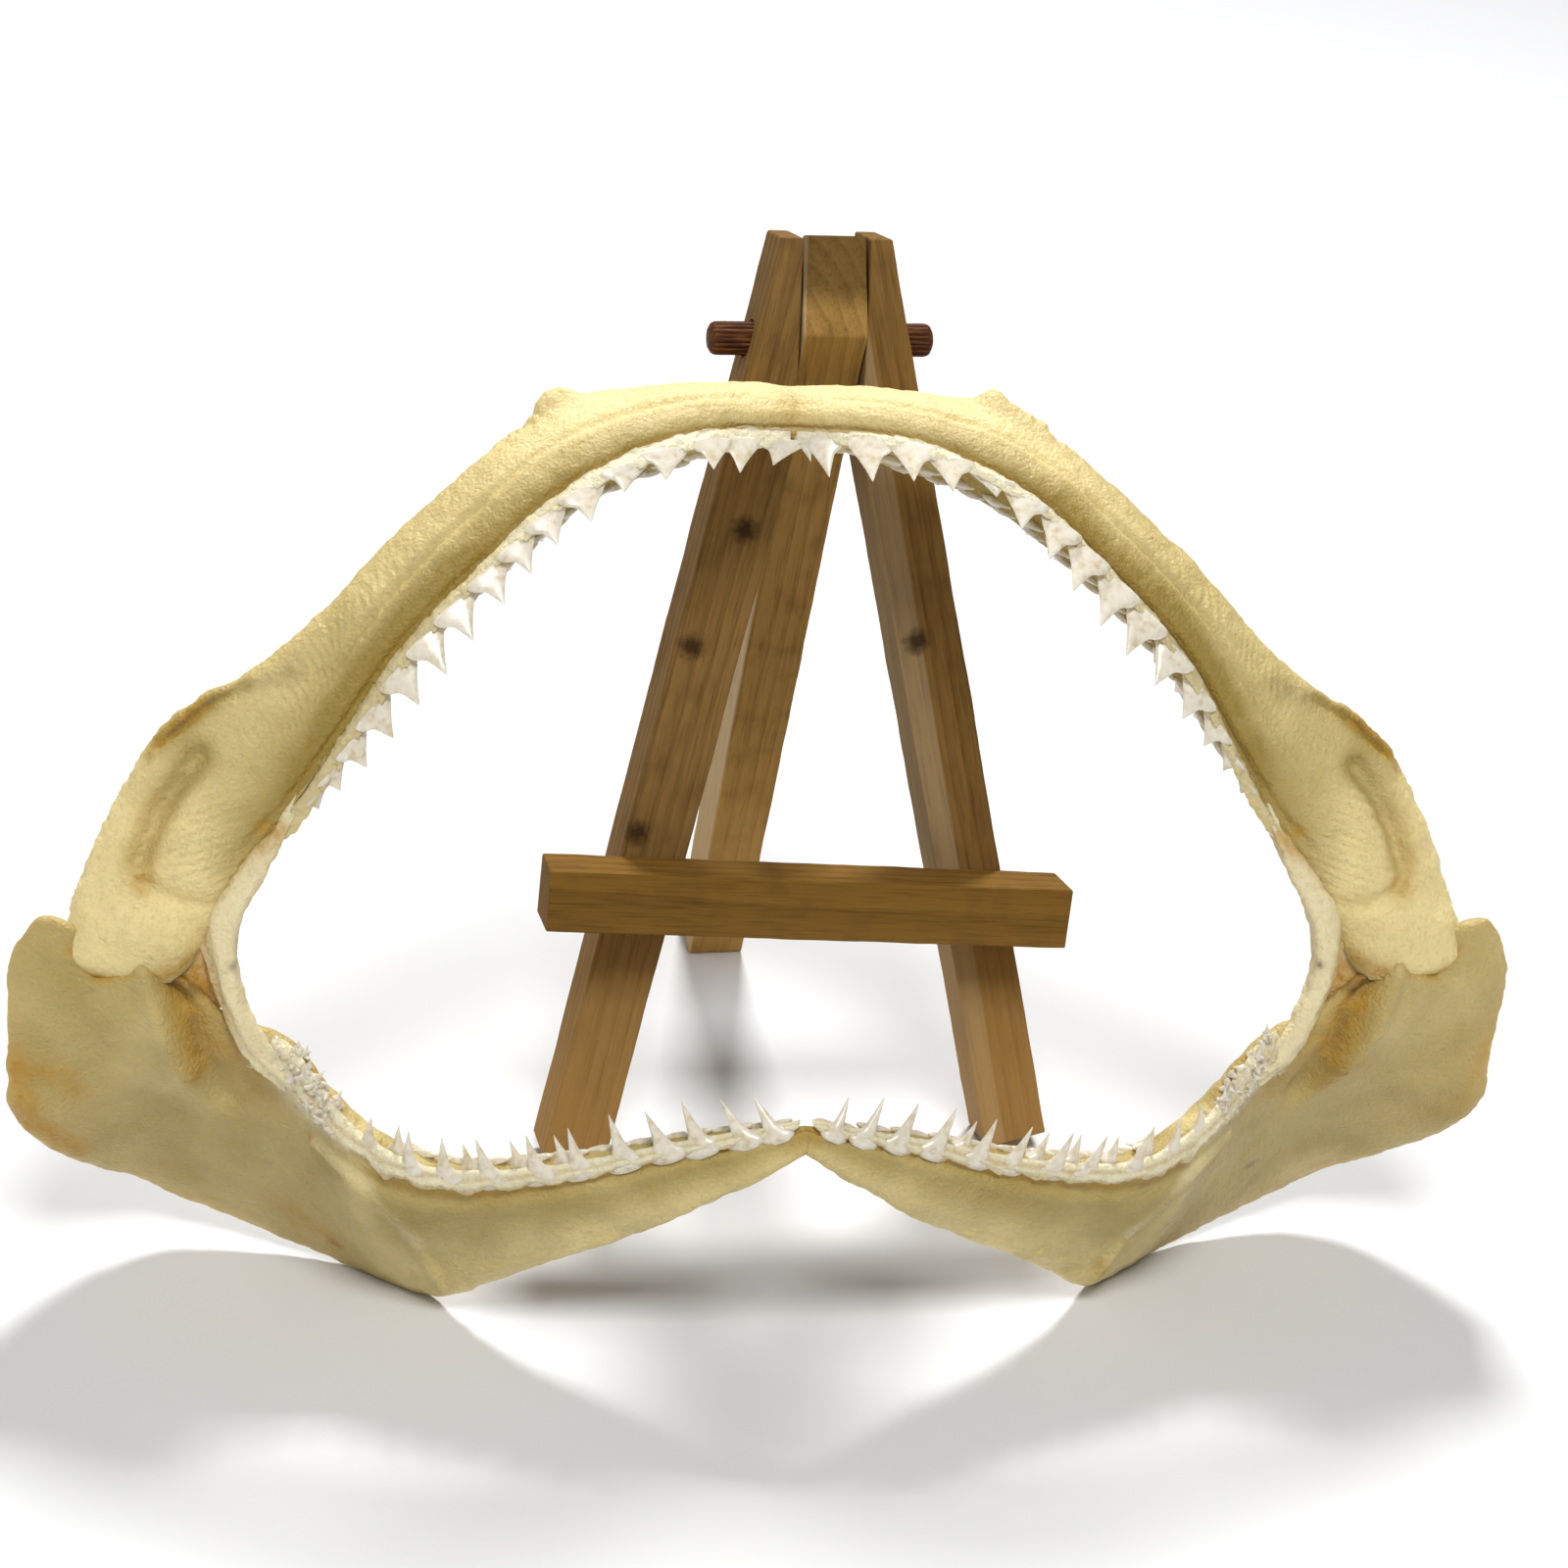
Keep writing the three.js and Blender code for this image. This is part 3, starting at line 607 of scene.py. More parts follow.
# %% Dried cartilage
def dried_cartilage(name, pale, deep, roughness):
    """Ivory cartilage. pale is its clean colour and deep the colour where it is thick or oily, and where
    shade is painted into its grooves.
    """
    material, tree, shader, place = new_material(name)
    shares = {paint: add(tree, "Attribute", attribute_name=paint, out="Fac") for paint in PAINTS}
    clouds, flecks, specks, grain = (  # lumps 11, 3, 1.1 and 0.8 mm wide: their scale is lumps per mm
        add(tree, "TexNoise", {"Vector": place, "Scale": scale, "Detail": detail})
        for scale, detail in ((0.09, 4.0), (0.35, 8.0), (0.9, 5.0), (1.3, 6.0))
    )
    drift = add(tree, "Math", [clouds, 0.45], operation="SUBTRACT")
    tone = add(tree, "Math", [drift, 0.55, shares["tone"]], operation="MULTIPLY_ADD")
    ragged = add(tree, "MapRange", [specks, 0.2, 0.7, 0.6, 1.0])
    colour = pale
    for share, part, tint in (
        (tone, 1.0, deep),
        (shares["white"], 0.9, "#efe9d8"),  # bleached gum
        (add(tree, "MapRange", [specks, 0.5, 0.74, 0.0, 0.26]), 1.0, "#b79d63"),  # pores
        (add(tree, "MapRange", [flecks, 0.66, 0.78, 0.0, 0.3]), 1.0, "#9d8a5c"),  # dust
        (shares["amber"], ragged, "#b98a22"),  # dried oil, and painted shade in the grooves along the gum and between the folds of the gum bands
        (shares["brown"], ragged, "#3d2814"),  # dark brown lines in cracks and folds, and painted shade in the crack along the right upper gum
    ):
        strength = add(tree, "Math", [share, part], operation="MULTIPLY")
        colour = add(tree, "Mix", {0: strength, 6: colour, 7: tint}, **COLOUR_MIX)
    tiles = add(tree, "TexVoronoi", {"Vector": place, "Scale": 1.7})  # 0.6 mm wide
    relief = add(tree, "Math", [tiles, 0.35, grain], operation="MULTIPLY_ADD")
    looks = {
        "Base Color": colour,
        "Normal": add(tree, "Bump", {"Height": relief, "Strength": 0.8, "Distance": 0.5 * MM}),
        "Roughness": add(tree, "MapRange", [grain, 0.3, 0.7, roughness - 0.08, roughness + 0.12]),
        "IOR": 1.45,
        "Subsurface Weight": 0.22,
        "Subsurface Radius": (1.0, 0.62, 0.25),  # red light goes in furthest, so thin edges glow yellow
        "Subsurface Scale": 4 * MM,
    }
    feed(tree, shader, looks)
    return material


CARTILAGE = dried_cartilage("dried_cartilage", "#f2de9e", "#9c8438", roughness=0.42)
GUM = dried_cartilage("dried_gum", "#efdfae", "#b4964c", roughness=0.45)
print("materials:", CARTILAGE.name, GUM.name)

# %% [markdown]
# Now the halves themselves. Each is rolled, carved and painted, and the left one is mirrored. The strips
# at the corners of the mouth and the shrunken gum behind them are small bars of the same kind.

# %% Jaw halves
JAWS = ("upper_jaw", "lower_jaw")
COARSE = 1
ROUND_TIP = 0.985  # where a bar's last stretch starts to close into a round end
ROUND_CONDYLE = 0.955  # the same for the knob of the upper jaw's joint


def skin_maker(name, side, seed):
    """The shape of a bar's skin, for roll_up."""
    bar = BARS[name]
    tip = ROUND_CONDYLE if name == "upper_jaw" else ROUND_TIP

    def shape(turn, way):
        places = bare_skin(bar, turn, way)
        middle = (bare_skin(bar, 0 * turn, way) + bare_skin(bar, 0 * turn + 0.5, way)) / 2
        if name in JAWS:
            rise = carve(name, side, places, turn, way, seed)
        else:
            rise = 0.3 * uneven(places, 3.0, seed) + 0.12 * uneven(places, 0.9, seed + 1)
            rise += 0.22 * np.sin(5 * 2 * np.pi * turn + 1.5 * uneven(places, 6, seed + 2, 2))
        places = places + facing(bar, turn, np.clip(way, 0.002, 0.998)) * rise[:, None]
        # The last stretch draws together like a quarter circle.
        closing = np.sqrt(np.clip(1 - np.clip((way - tip) / (1 - tip), 0, 1) ** 2, 0.0004, 1))
        places = middle + (places - middle) * closing[:, None]
        if name in JAWS:
            # The halves meet at the middle, and nothing sinks into the table. The upper ones have grown
            # together, so they cross the middle a little.
            least = -0.25 if name == "upper_jaw" else 0.01
            start = bare_skin(bar, turn, 0 * way)[:, 0] - least
            places[:, 0] = np.maximum(places[:, 0] - start * np.exp(-((way / 0.06) ** 2)), least)
            places[:, 2] = np.maximum(places[:, 2], 0.02)
        return places

    return shape


SKIN_GRID = {  # steps round and along
    "upper_jaw": (128 // COARSE, 480 // COARSE),
    "lower_jaw": (112 // COARSE, 400 // COARSE),
    "mouth_corner": (36, 120),
    "joint_gum": (32, 70),
}
for name, (around, along) in SKIN_GRID.items():
    for side, word in ((1, "right"), (-1, "left")):
        seed = 11 * (len(name) + side)
        bm = bmesh.new()
        roll_up(bm, around, along, skin_maker(name, side, seed), paint_jaw(name, side, seed))
        node = f"{name}_{word}"
        stands_for = [node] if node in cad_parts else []
        label, material, slot = (
            (f"{node}_cartilage", CARTILAGE, "cartilage")
            if name in JAWS
            else (f"{node}_skin", GUM, "dried_gum")
        )
        finish_piece(bm, label, material, "specimen", stands_for, mirrored=side < 0)

# %% [markdown]
# ## Teeth
#
# The upper teeth are broad blades that overlap like roof tiles. Each has a cusp that leans to the corner
# of the mouth, and a low sawn heel behind it. The lower teeth are slender spikes on wide roots. A blade
# could be cut from a sheet and bevelled, but it has no flat side, so each tooth is rolled too: its outline
# gives the near and far edge at each height, and its section is a lens.

# %% Tooth shapes
UPPER_BLADE = [  # height, near edge and far edge, as shares of the tooth's height and width
    (-0.02, -0.47, 0.47),
    (0.05, -0.52, 0.52),
    (0.14, -0.48, 0.5),
    (0.24, -0.41, 0.46),
    (0.32, -0.34, 0.4),
    (0.38, -0.29, 0.32),
    (0.46, -0.22, 0.275),
    (0.6, -0.11, 0.25),
    (0.75, 0.0, 0.23),
    (0.88, 0.09, 0.21),
    (0.95, 0.14, 0.198),
    (1.0, 0.18, 0.188),
]
LOWER_SPIKE = [
    (-0.12, -0.4, 0.4),
    (-0.04, -0.54, 0.53),
    (0.03, -0.55, 0.56),
    (0.1, -0.47, 0.5),
    (0.18, -0.34, 0.37),
    (0.26, -0.24, 0.26),
    (0.38, -0.175, 0.185),
    (0.6, -0.11, 0.125),
    (0.8, -0.055, 0.075),
    (0.93, -0.015, 0.035),
    (1.0, 0.002, 0.014),
]


# %% [markdown]
# One function sets a tooth of any outline. Its root goes a little into the jaw, so that no gap shows, and
# the saw along the upper blades is a zigzag in the outline, half a millimetre from notch to notch.

# %% Setting a tooth
NOTCH = 0.55  # mm from one notch of the saw to the next


def set_tooth(bm, spot, run, up, front, width, height, outline, thick, curl=0.0, saw=0.0):
    """A tooth on a bmesh, in mm. up points to its tip, and curl bends the tip away from its front."""
    rows = np.array(outline)
    low, high = rows[0, 0], rows[-1, 0]

    def shape(turn, way):
        level = low + way * (high - low)
        near, far = (np.interp(level, rows[:, 0], rows[:, edge]) * width for edge in (1, 2))
        angle = 2 * np.pi * turn
        notch = saw * np.abs((level * height / NOTCH) % 1 - 0.5) * (level > 0.02) * (level < 0.92)
        half = np.maximum((far - near) / 2 - notch, 0.02)
        side = (near + far) / 2 + half * np.cos(angle)
        depth = np.interp(level, (low, 0, 0.3, 0.8, 1), (0.7, 1, 0.62, 0.25, 0.08)) * thick / 2
        bent = curl * np.clip(level, 0, 1) ** 2
        out = depth * np.sin(angle) - bent
        return spot + side[:, None] * run + (level * height)[:, None] * up + out[:, None] * front

    roll_up(bm, 16, 26 if height > 3 else 14, shape)


# %% [markdown]
# The front teeth aren't evenly spaced or equally tall, because a shark sheds and replaces them all its
# life. So each has its own place, in mm along the gum edge from the middle of the jaw, and its own height.

# %% Where the teeth stand
UPPER_TEETH = {  # places, then heights
    "left": (
        [1.9, 11.0, 17.1, 25.7, 33.2, 41.4, 48.6, 55.0, 61.5, 69.0, 75.9, 82.5, 89.9, 96.5, 102.3, 107.0],
        [4.2, 6.5, 5.8, 5.8, 4.4, 6.0, 5.4, 5.8, 6.2, 6.6, 7.0, 6.4, 5.7, 4.7, 3.4, 2.4],
    ),
    "right": (
        [2.0, 5.2, 13.7, 21.1, 27.6, 34.8, 41.3, 48.6, 54.9, 62.1, 69.3, 76.7, 84.6, 91.8, 98.0, 103.4],
        [4.2, 7.5, 9.0, 7.8, 7.0, 3.0, 6.5, 8.0, 9.2, 9.5, 9.0, 7.5, 6.0, 4.2, 3.0, 2.2],
    ),
}
LOWER_TEETH = {
    "left": (
        [4.6, 9.8, 17.0, 22.6, 29.8, 37.3, 44.0, 51.8, 59.2, 65.1, 72.7],
        [6.5, 6.8, 7.4, 7.4, 7.6, 7.0, 7.2, 7.0, 7.0, 6.8, 6.2],
    ),
    "right": (
        [4.5, 10.0, 16.2, 22.9, 31.1, 37.4, 45.4, 51.6, 60.2, 68.1, 74.5],
        [5.5, 6.4, 6.8, 7.2, 7.0, 6.6, 6.8, 6.6, 6.6, 6.2, 5.6],
    ),
}
# The tips that show behind the lower front row.
LOWER_SECOND_ROW = {"left": [39.6, 47.0, 55.2, 68.0], "right": [28.6, 42.6, 49.2, 56.4, 63.6]}


def way_of(bar, stations):
    """The way along a bar of places given in mm along its gum edge."""
    ways = np.linspace(0, 1, 800)
    spots = bar["gum"](ways)
    walked = np.concatenate([[0], np.cumsum(np.linalg.norm(np.diff(spots, axis=0), axis=1))])
    return np.interp(stations, walked, ways)


def tooth_frame(bar, way):
    """Where a tooth stands: the gum edge, the run along it, the way up to the tip and the way out."""
    gum, across, out, run = (row[0] for row in frames_along(bar, np.array([way])))
    return gum, run, -unit(across - run * (across @ run)), out


# %% [markdown]
# The front rows lean and turn a little by chance, from seeded numbers, so that they come out the same
# each time. Behind them lie the spare teeth: neat rows folded flat against the inner side of each jaw, and
# a jumbled heap at the lower corners of the mouth, where the gum shrank most.

# %% Rows of teeth
def upper_teeth(bm, side, chance):
    """The front row of an upper half: blades that lean outwards and to the corner."""
    bar = BARS["upper_jaw"]
    sunk = -0.9 if side == "left" else 0.1  # the left row has come loose and hangs a little
    stations, heights = UPPER_TEETH[side]
    gaps = np.gradient(stations)
    for station, height, gap in zip(way_of(bar, stations), heights, gaps):
        gum, run, up, out = tooth_frame(bar, station)
        root = gum - up * sunk + out * 1.4
        tall = height + 0.1
        lean = unit(up * tall - out * 1.1 + run * chance.uniform(-0.3, 0.3))
        width = min(8.6, max(gap * 1.16, height * 0.95))
        front = unit(np.cross(run, lean)) * (1 if np.cross(run, lean) @ out > 0 else -1)
        front = unit(front - run * 0.12)
        beside = unit(run + front * 0.1)
        set_tooth(bm, root, beside, lean, front, width, tall, UPPER_BLADE, thick=1.8, curl=0.4, saw=0.2)


def lower_teeth(bm, side, chance):
    """The front row of a lower half, and the tips of the row that was growing in behind it."""
    bar = BARS["lower_jaw"]
    stations, heights = LOWER_TEETH[side]
    # place, height, how far out from the gum edge and how deep in it
    rows = [(station, height, 1.4, 1.3) for station, height in zip(stations, heights)]
    rows += [(station, 4.6, -0.6, 0.4) for station in LOWER_SECOND_ROW[side]]
    for station, height, outwards, sunk in rows:
        gum, run, up, out = tooth_frame(bar, way_of(bar, station))
        turned = 0.12 - 0.004 * station + chance.uniform(-0.1, 0.1)
        lean = unit(up - out * chance.uniform(0.0, 0.16) + run * turned)
        root = gum - up * sunk + out * outwards
        set_tooth(bm, root, run, lean, out, height * 0.86, height + sunk, LOWER_SPIKE, thick=2.8, curl=0.8)


def jumbled_teeth(bm, chance):
    """Small spare teeth that dried in a heap at the lower corner of the mouth."""
    bar = BARS["lower_jaw"]
    for _ in range(44):
        way, turn = chance.uniform(0.45, 0.61), np.array([chance.uniform(0.0, 0.085)])
        spot, face = (found(bar, turn, np.array([way]))[0] for found in (bare_skin, facing))
        _, _, up, _ = tooth_frame(bar, way)
        up = unit(up + face * 0.4 + chance.normal(0, 0.45, 3))
        run = unit(np.cross(up, chance.normal(0, 1, 3)))
        size = chance.uniform(1.5, 2.7)
        root = spot + face * chance.uniform(0.5, 1.3)
        set_tooth(bm, root, run, up, np.cross(run, up), size * 0.9, size, LOWER_SPIKE, thick=1.2, curl=0.3)


def spare_rows(bm, name, stations, outline, saw, chance):
    """Replacement teeth, folded flat against the inner side, with their tips away from the gum edge."""
    bar = BARS[name]
    for row, turn in enumerate((0.955, 0.915)):
        for station in np.arange(5.0 + 3 * row, stations[-1] - 4, 6.6):
            way = np.array([way_of(bar, station + chance.uniform(-0.5, 0.5))])
            spot = bare_skin(bar, np.array([turn]), way)[0]
            further = bare_skin(bar, np.array([turn - 0.03]), way)[0]
            front = facing(bar, np.array([turn]), way)[0]
            _, _, _, run = frames_along(bar, way)
            up = unit(further - spot)
            height = 4.6 - row * 0.6
            root, width = spot + front * 0.2, height * 1.2
            set_tooth(bm, root, run[0], up, front, width, height, outline, thick=1.5, curl=-0.3, saw=saw)


# %% [markdown]
# Tooth enamel is the one hard, glossy thing here: near white, a little see-through, and clouded with
# cream. The clouds are 1.4 mm wide and the fine lines of growth 0.4 mm apart, as coarse as they need to be
# to show.

# %% Tooth enamel
def tooth_enamel():
    """Near white enamel: a sharp little highlight, cloudy cream below it, and hair-fine lines."""
    material, tree, shader, place = new_material("tooth_enamel")
    clouds, lines = (
        add(tree, "TexNoise", {"Vector": place, "Scale": scale, "Detail": detail})
        for scale, detail in ((0.7, 4.0), (2.5, 3.0))
    )
    shades = [(0.35, "#ece4d2"), (0.55, "#e2d7c2"), (0.75, "#cbb98f")]
    looks = {
        "Base Color": add(tree, "ValToRGB", [clouds], shades),
        "Normal": add(tree, "Bump", {"Height": lines, "Strength": 0.15, "Distance": 0.2 * MM}),
        "Roughness": 0.28,
        "IOR": 1.6,
        "Subsurface Weight": 0.25,
        "Subsurface Radius": (1.0, 0.85, 0.6),
        "Subsurface Scale": 2 * MM,
    }
    feed(tree, shader, looks)
    return material


ENAMEL = tooth_enamel()
for number, side in enumerate(("right", "left")):
    chance = np.random.default_rng(40 + number)
    for jaw, front_teeth, stations, outline, saw in (
        ("upper_jaw", upper_teeth, UPPER_TEETH[side][0], UPPER_BLADE, 0.15),
        ("lower_jaw", lower_teeth, LOWER_TEETH[side][0], LOWER_SPIKE, 0.0),
    ):
        bm = bmesh.new()
        front_teeth(bm, side, chance)
        if jaw == "lower_jaw":
            jumbled_teeth(bm, chance)
        spare_rows(bm, jaw, stations, outline, saw, chance)
        finish_piece(bm, f"{jaw}_{side}_teeth", ENAMEL, "specimen", mirrored=side == "left")

# %% [markdown]
# ## Gum
#
# The gum dried to a thin white skin over the roots. On the upper jaw it's a wavy flap with a raised upper
# edge, and on the lower jaw a band of several layers. Each is a flat loop that follows the gum edge: its
# top lies on the cartilage, and its foot wraps the teeth.

# %% Gum bands
def gum_band(bm, name, stations, seed, top, drop, lean, thick, layers):
    """A band of dried gum along a bar's toothed edge. top is how far it climbs the front, as a share of
    the bar. drop and lean are how far it passes the gum edge and stands out from it, and thick is its
    swell, in mm."""
    first, last = 0.002, 0.63  # shares of the bar's way
    bar = BARS[name]
    teeth = way_of(bar, stations)

    def shape(turn, way):
        spot = first + way * (last - first)
        angle = 2 * np.pi * turn
        climb = (1 + np.cos(angle)) / 2
        flat = bar["gum"](spot)
        wavy = uneven(flat, 4.5, seed, 2)
        ragged = uneven(flat, 1.3, seed + 1, 2)
        tooth = np.interp(spot, teeth, np.arange(len(teeth))) + 0.45
        # The flap of the upper jaw steps up at each tooth, and the band of the lower one waves past it.
        shingle = tooth % 1 if layers == 1 else 0.5 + 0.5 * np.cos(2 * np.pi * (tooth - 0.45))
        narrow = 1 - 0.45 * ease(spot, 0.08, 0.3) if layers == 1 else 1.0
        lobes = (0.5 if layers == 1 else 0.4) * (0.5 - shingle)
        heaped = ease(spot, 0.42, 0.5) * (layers > 1)  # where it shrank into a heap
        narrow = narrow * (1 + 1.1 * heaped)
        reach = np.clip(top * narrow * (1 + 0.22 * wavy + 0.12 * ragged + lobes), 0.02, 0.5)
        high = np.arccos(1 - 2 * reach) / (2 * np.pi)
        gum, across, out, run = frames_along(bar, spot)
        up = -unit(across)
        ending = np.sqrt(np.clip(1 - np.abs(2 * way - 1) ** 24, 0.01, 1))
        crest = bare_skin(bar, high, spot) + 0.1 * out
        middle = bare_skin(bar, high * 0.55, spot) + 0.75 * out
        foot = gum + up * (drop * (0.85 + 0.25 * wavy + 0.15 * ragged + 0.3 * shingle))[:, None] + out * lean
        hold = 2 * middle - (crest + foot) / 2  # the handle of a curve from foot to crest over the middle
        share = climb[:, None]
        place = foot * (1 - share) ** 2 + 2 * hold * share * (1 - share) + crest * share**2
        slope = 2 * (hold - foot) * (1 - share) + 2 * (crest - hold) * share
        face = unit(np.cross(run, slope))
        fold = 0.45 + 0.5 * band(climb, 0.93, 0.1) + 0.16 * np.sin(climb * layers * 2 * np.pi + 2 * wavy)
        fold = fold + 0.45 * shingle
        swell = thick * np.sin(angle) * fold * ending
        lumps = (0.24 + 0.4 * heaped) * uneven(place, 1.4, seed + 2, 3)
        return place + face * (swell + lumps)[:, None]

    def paint(places, turn, way):
        climb = (1 + np.cos(2 * np.pi * turn)) / 2
        # painted shade: amber along the band's top edge, where it meets the cartilage; the noise adds random
        # stains
        edge = 0.5 * band(climb, 1.0, 0.06) + 0.25 * np.clip(uneven(places, 3.5, seed + 5, 2), 0, 1)
        # painted shade: amber in the valleys between the folds of the lower band
        streaks = band(np.sin(climb * layers * 2 * np.pi + uneven(places, 6, seed + 6, 2)), -1, 0.7)
        edge = edge + 0.4 * streaks * (layers > 1)
        oiled = ease(first + way * (last - first), 0.12, 0.4) if layers == 1 else 0 * way
        tone = 0.3 * band(climb, 1.0, 0.2) + 0.45 * oiled
        return {"tone": tone, "amber": np.clip(edge, 0, 1), "white": 0.42 * (1 - 0.8 * oiled)}

    roll_up(bm, 40, int(420 * (last - first)), shape, paint)


for number, side in enumerate(("right", "left")):
    upper = dict(seed=60 + number, top=0.065, drop=2.3 if side == "left" else 1.7, lean=1.4, thick=0.7)
    lower = dict(seed=70 + number, top=0.085, drop=0.7, lean=0.8, thick=0.9)
    for jaw, teeth, layers, band_sizes in (
        ("upper_jaw", UPPER_TEETH, 1, upper),
        ("lower_jaw", LOWER_TEETH, 2, lower),
    ):
        bm = bmesh.new()
        gum_band(bm, jaw, teeth[side][0], layers=layers, **band_sizes)
        finish_piece(bm, f"{jaw}_{side}_gum", GUM, "specimen", mirrored=side == "left")

# %% [markdown]
# ## The easel
#
# The easel is made of planed softwood sticks and a fluted dowel. The sticks' CAD solids have the right
# shape but knife-sharp edges, so each piece here is a copy of its node: its vertices are merged, its
# edges get a small bevel, and it is cut across many times so that its faces can be slightly uneven.

# %% Stick shapes
SHARP = math.radians(25)  # an edge that bends more than this is one of the stick's own
SOFT_EDGE = 0.35 * MM
SLICE = 2.5 * MM  # from one cut across to the next
UNEVEN_FACES = 0.13 * MM


def long_axis(node):
    """A stick's middle and the way it runs, found from its own vertices."""
    spots = np.array([vert.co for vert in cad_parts[node].data.vertices])
    middle = (spots.min(0) + spots.max(0)) / 2
    _, _, directions = np.linalg.svd(spots - spots.mean(0), full_matrices=False)
    run = directions[0] * (1 if directions[0][2] >= 0 else -1)
    return Vector(middle), Vector(run)


def dressed_stick(node, seed):
    """A copy of a stick's solid with soft edges and slightly uneven faces."""
    bm = bmesh.new()
    bm.from_mesh(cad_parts[node].data)
    bmesh.ops.remove_doubles(bm, verts=bm.verts, dist=SAME_SPOT)
    bmesh.ops.dissolve_limit(bm, angle_limit=math.radians(0.5), verts=bm.verts, edges=bm.edges)
    long_edges = [
        edge
        for edge in bm.edges
        if len(edge.link_faces) == 2 and edge.calc_face_angle() > SHARP and edge.calc_length() > 3 * MM
    ]
    bmesh.ops.bevel(
        bm,
        geom=long_edges,
        offset=SOFT_EDGE,
        segments=2,
        profile=0.5,
        affect="EDGES",
        material=-1,
        clamp_overlap=True,
    )
    middle, run = long_axis(node)
    reach = max((vert.co - middle).dot(run) for vert in bm.verts)
    for step in range(-int(reach / SLICE), int(reach / SLICE) + 1):
        everything = bm.verts[:] + bm.edges[:] + bm.faces[:]
        bmesh.ops.bisect_plane(bm, geom=everything, plane_co=middle + run * step * SLICE, plane_no=run)
    spots = np.array([vert.co for vert in bm.verts])
    wave = uneven(spots / MM, 11, seed) * UNEVEN_FACES
    for vert, away in zip(bm.verts, wave):
        vert.co += vert.normal * float(away)
    return bm


# %% [markdown]
# Softwood shows three things: growth rings, which are nested tubes round the heart of the trunk, fine streaks
# along the stick, and knots. The pattern is made in the stick's own frame: a Mapping node turns the
# coordinates so that Z runs along the stick. Rings about 2.6 mm apart give the stripes on the faces and the
# arcs on the cut ends at once, because the pattern is solid. The streaks are half a millimetre wide and 20
# times as long. Bare planed wood is dull to the eye, with grime on it in patches. Light is painted into the
# colour too: each stick's left side is paler, as if lit from the left, and the sticks are paler near the
# table, where the jaws' shade doesn't reach.

# %% Planed softwood
RING_SPACING = 2.6  # mm
WAVE_TURN = 20.0  # Blender's wave texture fits this many radians in one unit
SIDE_LIGHT_DEPTH = 4.6  # mm from the middle of a stick to where the painted light on its left side starts
SAWN_TOP = 157.0  # mm above the table, where the mitred top starts


